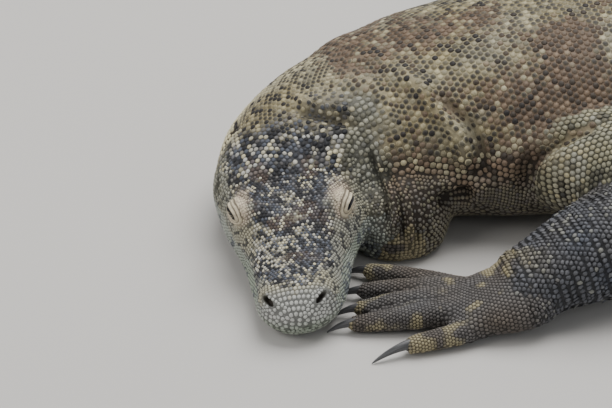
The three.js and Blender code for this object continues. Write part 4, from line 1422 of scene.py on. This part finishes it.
def body_colours(points, s, fixed, grain):
    """Neck, trunk and tail: a pale net with dark dots above, dark hide with dull beads below,
    with painted shade between the scales and at the edges of undotted scales and a painted
    highlight at their middles.
    """
    _, middle, small = grain
    rear = smooth((s - 250) / 260)
    net = mix(PIGMENTS["cream"], PIGMENTS["straw"],
              0.15 + 1.6 * (middle - 0.38) + 0.5 * (fixed - 0.5))
    net = mix(net, PIGMENTS["stone"], smooth((small - 0.46) / 0.3) * 0.4)
    brown = smooth((noise(points, 52, 5) + 0.42 * rear + 0.2 * smooth((s - 420) / 250)
                    + 0.3 * (fixed - 0.5) - 0.60) / 0.2)
    net = mix(net, PIGMENTS["rust"], brown * 0.88)
    dark = mix(PIGMENTS["ink"], PIGMENTS["soil"] * 0.8, 0.25 + 0.6 * brown)
    other = other_chance(fixed, 17)
    share = (0.05 + 0.10 * brown + 0.20 * smooth((230 - s) / 90) + 0.55 * (small - 0.58)
             + 0.5 * (middle - 0.55))
    whole = smooth((np.clip(share, 0.0, 0.6) - other) / 0.08 + 0.5)
    dotted = smooth((points[:, 2] - 60 + 50 * (middle - 0.5)) / 30)
    dotted = dotted * np.clip(1.55 - 1.25 * other, 0.3, 1) * smooth((s - 105) / 30)
    low = smooth((72 - points[:, 2] + 40 * (middle - 0.5)) / 26)
    dull = mix(PIGMENTS["flint"] * 1.1, PIGMENTS["olive"], 0.3 + 0.9 * (fixed - 0.4))
    base = mix(mix(net, dark, whole), dull, low * 0.85)
    dotted = dotted * (1 - low)
    # The hide between the scales: dark hide darkened further with painted shade, darker low on the body.
    between = mix(PIGMENTS["soil"] * 0.45, mix(net, PIGMENTS["soil"], 0.35),
                  0.75 * smooth((points[:, 2] - 70) / 30))
    # Where a scale has no dark dot its edge is darkened to 0.6 as painted shade and its middle lightened
    # to 1.12 as a painted highlight; the dark dots with their pale rims are the pattern.
    colours = (between, mix(base * 0.6, base * 1.15, dotted), mix(base, dark, dotted * 0.86),
               mix(base * 1.12, dark * 0.7, dotted))
    bands = 0.5 + 0.5 * np.sin(s / 26 + 2 * noise(points, 120, 6))
    far = smooth((s - 850) / 500) * (0.35 + 0.4 * bands)
    return [mix(colour, PIGMENTS["soil"] * tone, far)
            for colour, tone in zip(colours, (0.4, 1.2, 0.9, 0.7))]


def limb_colour(stage, fixed, grain):
    """Pale beads by the shoulder, slate grey below the elbow, greyish brown on the paws."""
    broad, middle, small = grain
    beads = mix(PIGMENTS["stone"] * 1.2, PIGMENTS["straw"], 0.1 + 0.6 * smooth((fixed - 0.3) / 0.6))
    beads = mix(beads, PIGMENTS["olive"], 0.75 * smooth((middle - 0.38) / 0.3))
    beads = mix(beads, PIGMENTS["ink"], smooth((small + 0.3 * fixed - 0.74) / 0.15) * 0.7)
    grey = mix(PIGMENTS["slate"], PIGMENTS["flint"], 0.45 + 1.3 * (middle - 0.4))
    grey = grey * (0.7 + 0.6 * fixed)[:, None]
    grey = mix(grey, PIGMENTS["stone"], smooth((fixed + 0.5 * (small - 0.5) - 0.86) / 0.1) * 0.6)
    paw = mix(PIGMENTS["flint"], PIGMENTS["soil"] * 1.3, 0.3 + 1.3 * (middle - 0.4))
    paw = mix(paw * (0.75 + 0.45 * fixed)[:, None], PIGMENTS["straw"] * 0.9,
              smooth((broad + 0.6 * small - 0.98) / 0.16) * 0.65)
    wander = stage + 0.5 * (broad - 0.5)
    colour = mix(beads, grey, smooth((wander - 0.5) / 0.45))
    return mix(colour, paw, smooth((wander - 1.8) / 0.5) * 0.85)


# Half the width of the dark cap, by the distance back from the snout.
CAP_AT = [0, 14, 22, 32, 40, 60, 78, 95, 110, 128, 150, 168, 190]
CAP_HALF = [0, 5, 16, 24, 29, 32, 34, 31, 35, 45, 50, 52, 52]


def head_colour(points, here, fixed, grain):
    """A dark cap flecked with pearl, pale lips, a cream and black band between, pale lids."""
    _, middle, small = grain
    back_by, left, up = here.T
    fine = noise(points, 5, 4)
    other, third = other_chance(fixed, 23), other_chance(fixed, 29)
    half = np.interp(back_by, CAP_AT, CAP_HALF)
    ragged = 8 * (small - 0.5) + 9 * (fine - 0.5) + 5 * (fixed - 0.5)
    cap = smooth((half + ragged - np.abs(left - 1)) / 4) * smooth((up - 26) / 10)
    cap = cap * smooth((back_by - 15 + 14 * (fine - 0.5) + 10 * (fixed - 0.5)) / 5)
    lip = smooth((17 - (up - mouth_height(back_by)) + 3 * (fixed - 0.5)) / 4)
    lips = mix(PIGMENTS["sage"], PIGMENTS["pearl"] * 0.8, 0.2 + 0.7 * (middle - 0.3))
    lips = mix(lips, PIGMENTS["slate"], smooth((small + 0.5 * fixed - 0.88) / 0.1) * 0.8)
    band = mix(PIGMENTS["stone"] * 1.2, PIGMENTS["cream"] * 0.7,
               0.3 + 1.2 * (middle - 0.4) - back_by / 400)
    band = mix(band, PIGMENTS["ink"] * 1.5, smooth((0.34 + 0.5 * (fine - 0.5) - other) / 0.08) * 0.9)
    band = mix(band, PIGMENTS["olive"], smooth((back_by - 90) / 50) * 0.5 * (1 - third))
    side = mix(band, lips, lip)
    snout = mix(PIGMENTS["pearl"], PIGMENTS["sage"], smooth((24 - up) / 8) * 0.7 + 0.25 * small)
    side = mix(snout, side, smooth((back_by - 10) / 12))
    top = mix(PIGMENTS["slate"] * 1.1, PIGMENTS["ink"],
              smooth((0.70 + 0.9 * (small - 0.5) - third) / 0.25))
    top = mix(top, PIGMENTS["flint"] * 1.9,
              smooth((other - 0.55) / 0.1) * smooth((0.8 - other) / 0.1) * 0.6)
    speck = smooth((fixed + 0.9 * (fine - 0.5) + 0.7 * (middle - 0.5) - 0.70) / 0.09)
    speck = speck * smooth((third - 0.1) / 0.2)
    top = mix(top, mix(PIGMENTS["pearl"], PIGMENTS["cream"], other), speck * (0.5 + 0.5 * third))
    warm = smooth((noise(points, 18, 8) - 0.60) / 0.12) * smooth((back_by - 40) / 20)
    top = mix(top, PIGMENTS["rust"] * 0.8, warm * 0.35 * (1 - speck))
    colour = mix(side, top, cap)
    lids = sum(bell(here, np.array(EYE[name]) + (1, 4 * side, 5), (17, 9, 9))
               for name, side in SIDES_OF_HEAD)
    pale = mix(PIGMENTS["lid"], PIGMENTS["blush"], 0.3 + 0.8 * (third - 0.3))
    pale = mix(pale, PIGMENTS["soil"], smooth((0.22 - other) / 0.06) * 0.7)
    return mix(colour, pale, smooth(lids * 1.7 - 0.35 + 0.5 * (fine - 0.5)))


def markings(points, stage, fixed):
    """Colours of the hide between the scales, and of a scale's edge, flank and middle. The hide
    between carries painted shade; so does the edge, and the middle a painted highlight, wherever a
    scale has no dark dot.
    """
    s = body_place(points)
    here = head_coords(points)
    grain = noise(points, 85, 1), noise(points, 24, 2), noise(points, 9, 3)
    body = body_colours(points, s, fixed, grain)
    on_limb = smooth((stage - 0.05 + 0.3 * (grain[1] - 0.5)) / 0.3) * (stage >= 0)
    limb = limb_colour(stage, fixed, grain)
    limb = mix(limb, PIGMENTS["soil"] * 1.5, 0.6 * smooth((-points[:, 0] - 300) / 200))
    nape = smooth((here[:, 0] - 160 + 26 * (grain[1] - 0.5) + 12 * (fixed - 0.5)) / 22)
    beside = smooth((84 - np.abs(here[:, 1]) + 18 * (grain[2] - 0.5) + 10 * (fixed - 0.5)) / 16)
    on_head = (stage < 0) & (here[:, 0] < 200) & (s < 230)
    on_head = on_head * (1 - nape) * beside
    head = head_colour(points, here, fixed, grain)
    # Limb and head tones for the hide between the scales, the edge, the flank and the middle: dark hide
    # darkened further with painted shade, painted shade at the edge, the flank as it is, and a painted
    # highlight at the middle.
    shade_and_highlight_tones = ((0.30, 0.36), (0.62, 0.66), (1.0, 1.0), (1.15, 1.12))
    return [mix(mix(colour, limb * limb_tone, on_limb), head * head_tone, on_head)
            for colour, (limb_tone, head_tone) in zip(body, shade_and_highlight_tones)]


print("pigments:", len(PIGMENTS))

# %% [markdown]
# ## One scale, tens of thousands of times
# A scale is a low dome with eight corners: a rim just under the skin, a shoulder and a middle,
# closed below so that it is a solid. Its outline isn't a circle but the patch of skin nearest to
# its root, drawn in a little, so neighbours fit together with an even dark seam. The rear edge
# stands proud and reaches over the next scale. All scales of a piece are computed as one array.

# %% Outline of every scale
SIDES = 8
OUTLINE = 0.92
# The widest a scale may be, as a share of its room, where neighbours leave it free.
WIDEST, WIDEST_LIMB = 0.55, 0.62

across = np.cross(lie, normal)
i, j = near_pairs(spot, room.max() * 1.75)
gap_vector = spot[j] - spot[i]
flat_x, flat_y = (gap_vector * across[i]).sum(-1), (gap_vector * lie[i]).sum(-1)
flat_far = flat_x**2 + flat_y**2
same_side = (normal[i] * normal[j]).sum(-1) > 0.1
useful = np.nonzero((flat_far < (1.8 * room[i]) ** 2) & (flat_far > 0.25) & same_side)[0]
order = useful[np.argsort(i[useful], kind="stable")]
i, flat_x, flat_y, flat_far = i[order], flat_x[order], flat_y[order], flat_far[order]
# Halfway to each neighbour a straight line cuts the outline; each direction keeps the nearest.
sector = (np.arange(SIDES) + 0.5) / SIDES * 2 * np.pi
reach_to = flat_x[:, None] * np.cos(sector) + flat_y[:, None] * np.sin(sector)
cut_at = np.where(reach_to > 1e-3, flat_far[:, None] / 2 / np.maximum(reach_to, 1e-3), 1e3)
round_share = np.where(part > BODY_PART, WIDEST_LIMB, WIDEST)
limit = np.repeat((room * round_share)[:, None], SIDES, 1)
starts = np.nonzero(np.diff(np.concatenate([[-1], i])))[0]
limit[i[starts]] = np.minimum(limit[i[starts]], np.minimum.reduceat(cut_at, starts, axis=0))
radius = np.maximum(limit * OUTLINE, 0.3)
print("pairs of neighbours:", len(i), "mean radius:", round(float(radius.mean()), 2), "mm")

# %% Colours and heights of the scales
stage = limb_stage(part, root_uv[:, 0])
fixed = chance(spot, 11)
# Each scale's edge, flank and middle colour; where it has no dark dot the edge holds painted shade and the
# middle a painted highlight.
_, *ring_colours_with_painted_light = markings(spot, stage, fixed)
belly = smooth((-normal[:, 2] - 0.35) / 0.3)
high = 0.165 * pitch * (1 - 0.75 * belly) * (0.85 + 0.3 * fixed)
print("height of a scale:", round(float(high.min()), 2), "to", round(float(high.max()), 2), "mm")

# %% Build the coat
UV_PATCH = 0.0015
TRIANGLES_EACH = 30
# Shares of a scale's radius, or of its height where the name says so; RIM_SUNK is in millimetres.
RIM_SUNK, SHOULDER_OUT, MIDDLE_AHEAD = 0.3, 0.74, 0.12
RIM_REACH, SHOULDER_REACH = 0.16, 0.14
RIM_LIFT_HEIGHT, SHOULDER_HEIGHT, SHOULDER_LIFT_HEIGHT = 0.42, 0.66, 0.30


def scale_mesh(name, pick):
    """All picked scales as one mesh: rim, shoulder and middle of each, with colours and UVs."""
    number = len(pick)
    r, h = radius[pick][:, :, None], high[pick][:, None, None]
    unit_x, unit_y = np.cos(sector), np.sin(sector)
    ray = across[pick][:, None] * unit_x[:, None] + lie[pick][:, None] * unit_y[:, None]
    rear = np.maximum(unit_y, 0)[None, :, None]
    up = normal[pick][:, None]
    root = spot[pick][:, None]
    rim = root + ray * r * (1 + RIM_REACH * rear) + up * (h * (RIM_LIFT_HEIGHT * rear**2) - RIM_SUNK)
    shoulder = (root + ray * r * (SHOULDER_OUT + SHOULDER_REACH * rear)
                + up * h * (SHOULDER_HEIGHT + SHOULDER_LIFT_HEIGHT * rear))
    middle = root + up * h - lie[pick][:, None] * (r.mean(1, keepdims=True) * MIDDLE_AHEAD)
    corners = np.concatenate([rim, shoulder, middle], 1)
    corners[..., 2] = np.maximum(corners[..., 2], 0.04)
    each = corners.shape[1]
    base = (np.arange(number) * each)[:, None]
    k = np.arange(SIDES)
    nxt = (k + 1) % SIDES
    quads = np.stack([k, nxt, nxt + SIDES, k + SIDES], -1)
    tips = np.stack([k + SIDES, nxt + SIDES, np.full(SIDES, 2 * SIDES)], -1)
    under = k[::-1][None]
    faces = [(quads[None] + base[:, None]).reshape(-1, 4), (tips[None] + base[:, None]).reshape(-1, 3),
             (under[None] + base[:, None]).reshape(-1, SIDES)]
    mesh = new_mesh(name, corners.reshape(-1, 3), faces)
    # The rim takes the edge colour with its painted shade, the shoulder the flank colour, and the middle
    # corner the middle colour with its painted highlight.
    tint = np.concatenate([np.repeat(colour[pick][:, None], corners_in_ring, 1)
                           for colour, corners_in_ring in zip(ring_colours_with_painted_light, (SIDES, SIDES, 1))], 1)
    paint(mesh, tint.reshape(-1, 3))
    circle = np.stack([unit_x, unit_y], -1)
    patch = np.concatenate([circle, SHOULDER_OUT * circle, np.zeros((1, 2))]) * UV_PATCH
    set_uv(mesh, "OFBake", (unwrap(pick)[:, None] + patch[None]).reshape(-1, 2))
    return mesh


def unwrap(pick):
    """Place along and round its own part of each scale; parts that share a piece share the
    sheet in equal tiles, so no two scales of a piece lie on one place."""
    shown, which = np.unique(part[pick], return_inverse=True)
    tiles = int(np.ceil(np.sqrt(len(shown))))
    uv = np.clip(root_uv[pick], 0, 1)
    lowest = np.full((len(shown), 2), 1.0)
    highest = np.zeros((len(shown), 2))
    np.minimum.at(lowest, which, uv)
    np.maximum.at(highest, which, uv)
    inside = 0.02 + 0.96 * (uv - lowest[which]) / np.maximum(highest - lowest, 1e-6)[which]
    return (np.stack([which % tiles, which // tiles], -1) + inside) / tiles


print("scales:", len(spot), "triangles:", len(spot) * TRIANGLES_EACH)

# %% [markdown]
# ## Finish of skin and scales
# Skin and scales have one thing in common: horny hide with fine grit, whose colour was worked
# out for each corner. That effect is a node group with its own inputs, used by both materials:
# the grit lightens and darkens the tint, changes how glossy the hide is, and raises a bump.

# %% The shared effect


def hide_group():
    """Tint and grit in, colour, roughness and height out."""
    group = bpy.data.node_groups.new("gritty hide", "ShaderNodeTree")
    for socket_name, kind in (("Tint", "NodeSocketColor"), ("Grit Scale", "NodeSocketFloat"),
                              ("Contrast", "NodeSocketFloat"), ("Roughness", "NodeSocketFloat")):
        group.interface.new_socket(socket_name, in_out="INPUT", socket_type=kind)
    for socket_name, kind in (("Color", "NodeSocketColor"), ("Roughness", "NodeSocketFloat"),
                              ("Height", "NodeSocketFloat")):
        group.interface.new_socket(socket_name, in_out="OUTPUT", socket_type=kind)
    nodes, links = group.nodes, group.links
    given, result = nodes.new("NodeGroupInput"), nodes.new("NodeGroupOutput")
    place_node = nodes.new("ShaderNodeTexCoord")
    grit = nodes.new("ShaderNodeTexNoise")
    grit.inputs["Detail"].default_value = 4
    links.new(place_node.outputs["Object"], grit.inputs["Vector"])
    links.new(given.outputs["Grit Scale"], grit.inputs["Scale"])

    def math_node(operation, first, second):
        """One Math node, with sockets or numbers as its two inputs."""
        node = nodes.new("ShaderNodeMath")
        node.operation = operation
        for socket, value in zip(node.inputs, (first, second)):
            if isinstance(value, (int, float)):
                socket.default_value = value
            else:
                links.new(value, socket)
        return node.outputs["Value"]

    centred = math_node("SUBTRACT", grit.outputs["Fac"], 0.5)
    swing = math_node("MULTIPLY", centred, given.outputs["Contrast"])
    shade = nodes.new("ShaderNodeVectorMath")
    shade.operation = "SCALE"
    links.new(given.outputs["Tint"], shade.inputs[0])
    links.new(math_node("ADD", swing, 1.0), shade.inputs["Scale"])
    links.new(shade.outputs["Vector"], result.inputs["Color"])
    rough = math_node("ADD", given.outputs["Roughness"], math_node("MULTIPLY", centred, 0.4))
    links.new(rough, result.inputs["Roughness"])
    links.new(grit.outputs["Fac"], result.inputs["Height"])
    return group


gritty_hide = hide_group()
print("sockets of the group:", [item.name for item in gritty_hide.interface.items_tree])

# %% Materials of skin and scales


def hide_material(name, roughness, grit_scale, contrast, depth):
    """The corners' tint through the shared grit, with its own scale, contrast and depth."""
    material = bpy.data.materials.new(name)
    material.use_nodes = True
    nodes, links = material.node_tree.nodes, material.node_tree.links
    shader = nodes["Principled BSDF"]
    shader.inputs["Specular IOR Level"].default_value = 0.3
    tint = nodes.new("ShaderNodeAttribute")
    tint.attribute_name = "tint"
    effect = nodes.new("ShaderNodeGroup")
    effect.node_tree = gritty_hide
    effect.inputs["Grit Scale"].default_value = grit_scale
    effect.inputs["Contrast"].default_value = contrast
    effect.inputs["Roughness"].default_value = roughness
    links.new(tint.outputs["Color"], effect.inputs["Tint"])
    links.new(effect.outputs["Color"], shader.inputs["Base Color"])
    links.new(effect.outputs["Roughness"], shader.inputs["Roughness"])
    bump = nodes.new("ShaderNodeBump")
    bump.inputs["Strength"].default_value = 0.5
    bump.inputs["Distance"].default_value = depth
    links.new(effect.outputs["Height"], bump.inputs["Height"])
    links.new(bump.outputs["Normal"], shader.inputs["Normal"])
    return material


scale_material = hide_material("scale", 0.58, 700, 1.1, 0.0003)
skin_material = hide_material("bare skin", 0.64, 420, 1.0, 0.0004)
print("materials:", scale_material.name, "and", skin_material.name)

# %% [markdown]
# ## Pieces of the coat
# The scales could be one mesh, but a piece may hold no more than 200,000 triangles. So the coat is
# divided where a maker would divide it, into head, hands, feet, arms and legs, and the body's
# scales are cut into equal lengths from neck to tail.

# %% Coat pieces
MOST_SCALES = 6400
# Slot of each piece, and the beginnings of the names of the parts that it covers.
COVERED = {"coat_head": ("head_skin", ("head",)), "coat_hands": ("limb_skin", ("hand",)),
           "coat_feet": ("limb_skin", ("foot",)), "coat_arms": ("limb_skin", ("upper_arm", "forearm")),
           "coat_legs": ("limb_skin", ("thigh", "shin"))}


def coat_piece(name, pick):
    """The picked scales as one object that rides on the body."""
    coat = new_object(name, scale_mesh(name, pick), scale_material)
    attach(coat, "root")
    print(name, "scales:", len(pick))


for piece_name, (slot, beginnings) in COVERED.items():
    numbers = [number for number, name in enumerate(PART_NAMES) if name.startswith(beginnings)]
    coat_piece(piece_name, np.nonzero(np.isin(part, numbers))[0])
body_scales = np.nonzero(part == BODY_PART)[0]
body_scales = body_scales[np.argsort(body_place(spot[body_scales]))]
chunks = math.ceil(len(body_scales) / MOST_SCALES)
for number, chunk in enumerate(np.array_split(body_scales, chunks), 1):
    coat_piece(f"coat_body_{number}", chunk)

# %% [markdown]
# ## The skin's colours and painted shade
# Every corner of the skin takes the marking of the hide between the scales at its place, which is
# dark hide darkened further with painted shade. Lids, creases, nostrils and the slits of the eyes
# have no scales, so they get colours of their own, through the masks that were kept while they
# were shaped: the lids a pale pigment, and the lid creases, the nostrils and the slits painted
# shade, black in the slits. Then the one skin stands in for every solid of flesh.

# %% The skin stands in for the solids
corners = points_of(skin_mesh)
nearest_root = np.array([root_tree.find_nearest(corner)[2] for corner in corners.tolist()])
nearest_part = part[nearest_root]
skin_stage = limb_stage(nearest_part, root_uv[nearest_root, 0])
# The hide between the scales: dark hide darkened further with painted shade.
skin_colour, *_ = markings(corners, skin_stage, np.full(len(corners), 0.5))
skin_colour = mix(skin_colour, PIGMENTS["lid"], smooth((lid_mask - 0.45) / 0.4))
# Painted shade in the lid creases and the nostril pits, and black painted shade along the eye slits.
skin_colour = mix(skin_colour, PIGMENTS["soil"] * 1.1, np.clip(crease_shade_mask, 0, 1) * 0.85)
skin_colour = mix(skin_colour, PIGMENTS["soil"] * 0.5, np.clip(pit_shade_mask, 0, 1) * 0.9)
skin_colour = mix(skin_colour, PIGMENTS["ink"], np.clip(slit_shade_mask, 0, 1))
paint(skin_mesh, skin_colour)
skin = new_object("skin", skin_mesh, skin_material)
FLESH = ["head", "lower_jaw", "neck", "trunk_front", "trunk_rear", "tail_root", "tail_middle",
         "tail_rear", "tail_tip", *LIMBS, *PAWS]
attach(skin, "root")
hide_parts(*FLESH)
print("flesh nodes replaced:", len(FLESH))

# %% [markdown]
# ## Eyes
# Almost all of the eye is behind its lids, but what shows is wet and dark, and its gloss makes
# the animal look alive. The ball is lofted round the line of sight, so the iris and the pupil
# are rings of corners, coloured by their angle from that line. A clear coat gives the wet look.

# %% Eyes


def ball_rings(centre, radius, gaze, rings=28, around=36):
    """Circles round the line of sight at angles from 0 to pi: shape rings, around, 3."""
    gaze = np.asarray(gaze, float) / np.linalg.norm(gaze)
    side = np.cross(gaze, (0, 0, 1))
    side /= np.linalg.norm(side)
    up = np.cross(side, gaze)
    angle, turned = np.meshgrid(np.linspace(0.04, np.pi - 0.04, rings), ring_angles(around),
                                indexing="ij")
    ray = (np.cos(angle)[..., None] * gaze + (np.sin(angle) * np.cos(turned))[..., None] * side
           + (np.sin(angle) * np.sin(turned))[..., None] * up)
    return np.asarray(centre, float) + radius * ray, angle


def plain_material(name, base, roughness):
    """A material whose constant values sit on the shader's own sockets."""
    material = bpy.data.materials.new(name)
    material.use_nodes = True
    shader = material.node_tree.nodes["Principled BSDF"]
    shader.inputs["Base Color"].default_value = (*base, 1)
    shader.inputs["Roughness"].default_value = roughness
    return material, material.node_tree.nodes, material.node_tree.links, shader


# Angles from the line of sight where the pupil and the iris end, and the colours of the parts.
PUPIL, IRIS = 0.26, 0.62
EYE_COLOURS = {"pupil": (0.004, 0.004, 0.005), "iris": (0.30, 0.17, 0.06),
               "white": (0.05, 0.032, 0.022)}
EYE_COLOURS = {name: np.array(colour) for name, colour in EYE_COLOURS.items()}
LOOK = (-3.0, 10.0, 2.0)
eye_material, nodes, links, shader = plain_material("eye", (0.05, 0.03, 0.02), 0.12)
shader.inputs["Coat Weight"].default_value = 0.35
shader.inputs["Specular IOR Level"].default_value = 0.25
shader.inputs["Coat Roughness"].default_value = 0.04
tint = nodes.new("ShaderNodeAttribute")
tint.attribute_name = "tint"
flecks = nodes.new("ShaderNodeTexNoise")
flecks.inputs["Scale"].default_value = 900
place_node = nodes.new("ShaderNodeTexCoord")
links.new(place_node.outputs["Object"], flecks.inputs["Vector"])
shade = nodes.new("ShaderNodeMix")
shade.data_type = "RGBA"
shade.blend_type = "MULTIPLY"
shade.inputs["Factor"].default_value = 0.6
links.new(tint.outputs["Color"], shade.inputs["A"])
links.new(flecks.outputs["Color"], shade.inputs["B"])
links.new(shade.outputs["Result"], shader.inputs["Base Color"])

for side_name, side in SIDES_OF_HEAD:
    eye_at = np.array(EYE[side_name], float)
    centre = head_place(eye_at)
    look = head_place(eye_at + np.array(LOOK) * (1, side, 1)) - centre
    rings, angle = ball_rings(centre, EYE["radius"] - 0.6, look)
    corners, faces = loft(rings)
    mesh = new_mesh(f"eye_ball_{side_name}", corners, faces)
    outward(mesh)
    angle = np.concatenate([angle.ravel(), [0, np.pi]])
    colour = mix(EYE_COLOURS["iris"], EYE_COLOURS["white"], smooth((angle - IRIS) / 0.12))
    paint(mesh, mix(EYE_COLOURS["pupil"], colour, smooth((angle - PUPIL) / 0.06)))
    ball = new_object(f"eye_ball_{side_name}", mesh, eye_material)
    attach(ball, "root")
    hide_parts(f"eye_{side_name}")
print("eyes:", len(SIDES_OF_HEAD), "radius", EYE["radius"], "mm")

# %% [markdown]
# ## Claws
# A claw is a curved cone of horn, deeper than it is wide, rooted inside the toe. It is lofted on
# the same line as its solid, with more rings and a keel along its back. Horn grows in long
# fibres, so its noise is drawn out along the claw by a UV map that runs from root to tip.

# %% Claws
CLAW_RINGS, CLAW_AROUND = 26, 16


def claw_rings(tip, end):
    """Rings on the solid's line: half sizes shrink as (1 - t)^0.7, the middle arches by t (1 - t)."""
    tip, end = np.asarray(tip, float), np.asarray(end, float)
    along = end[:2] - tip[:2]
    length = np.linalg.norm(along)
    along = along / length
    t, p = np.meshgrid(np.linspace(0, 1, CLAW_RINGS), ring_angles(CLAW_AROUND), indexing="ij")
    out = (length + CLAW["sunk"]) * t
    height = (tip[2] + 1) * (1 - t) + 0.9 * t + CLAW["arch"] * 2.2 * t * (1 - t)
    slim = (1 - t) ** 0.7 * 0.9 + 0.07
    keel = 1 + 0.10 * np.maximum(np.sin(p), 0) ** 6
    wide = CLAW["half"][0] * slim * signed_power(np.cos(p), 0.85)
    tall = CLAW["half"][1] * slim * keel * signed_power(np.sin(p), 0.9)
    x = tip[0] - along[0] * CLAW["sunk"] + along[0] * out - along[1] * wide
    y = tip[1] - along[1] * CLAW["sunk"] + along[1] * out + along[0] * wide
    return np.stack([x, y, np.maximum(height + tall, 0.15)], -1), t, p


horn, nodes, links, shader = plain_material("horn", (0.1, 0.1, 0.1), 0.38)
shader.inputs["Specular IOR Level"].default_value = 0.45
fibre_uv = nodes.new("ShaderNodeUVMap")
fibre_uv.uv_map = "fibre"
stretch = nodes.new("ShaderNodeMapping")
stretch.inputs["Scale"].default_value = (2.5, 34, 1)
fibre = nodes.new("ShaderNodeTexNoise")
fibre.inputs["Scale"].default_value = 1.0
fibre.inputs["Detail"].default_value = 5
ramp = nodes.new("ShaderNodeValToRGB")
ramp.color_ramp.elements[0].position = 0.32
ramp.color_ramp.elements[0].color = (0.035, 0.036, 0.040, 1)
ramp.color_ramp.elements[1].position = 0.72
ramp.color_ramp.elements[1].color = (0.165, 0.165, 0.170, 1)
bump = nodes.new("ShaderNodeBump")
bump.inputs["Distance"].default_value = 0.0003
bump.inputs["Strength"].default_value = 0.6
links.new(fibre_uv.outputs["UV"], stretch.inputs["Vector"])
links.new(stretch.outputs["Vector"], fibre.inputs["Vector"])
links.new(fibre.outputs["Fac"], ramp.inputs["Fac"])
links.new(ramp.outputs["Color"], shader.inputs["Base Color"])
links.new(fibre.outputs["Fac"], bump.inputs["Height"])
links.new(bump.outputs["Normal"], shader.inputs["Normal"])

for paw_name, paw in PAWS.items():
    for number, (digit, end) in enumerate(zip(paw["digits"], paw["claws"]), 1):
        rings, t, p = claw_rings(digit[2], end)
        corners, faces = loft(rings)
        mesh = new_mesh(f"horn_{paw_name}_{number}", corners, faces)
        round_about = np.stack([t, p / (2 * np.pi)], -1).reshape(-1, 2)
        set_uv(mesh, "fibre", np.concatenate([round_about, [[0, 0.5], [1, 0.5]]]))
        outward(mesh)
        claw = new_object(f"horn_{paw_name}_{number}", mesh, horn)
        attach(claw, "root")
        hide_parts(f"claw_{paw_name}_{number}")
print("claws:", sum(len(paw["claws"]) for paw in PAWS.values()))
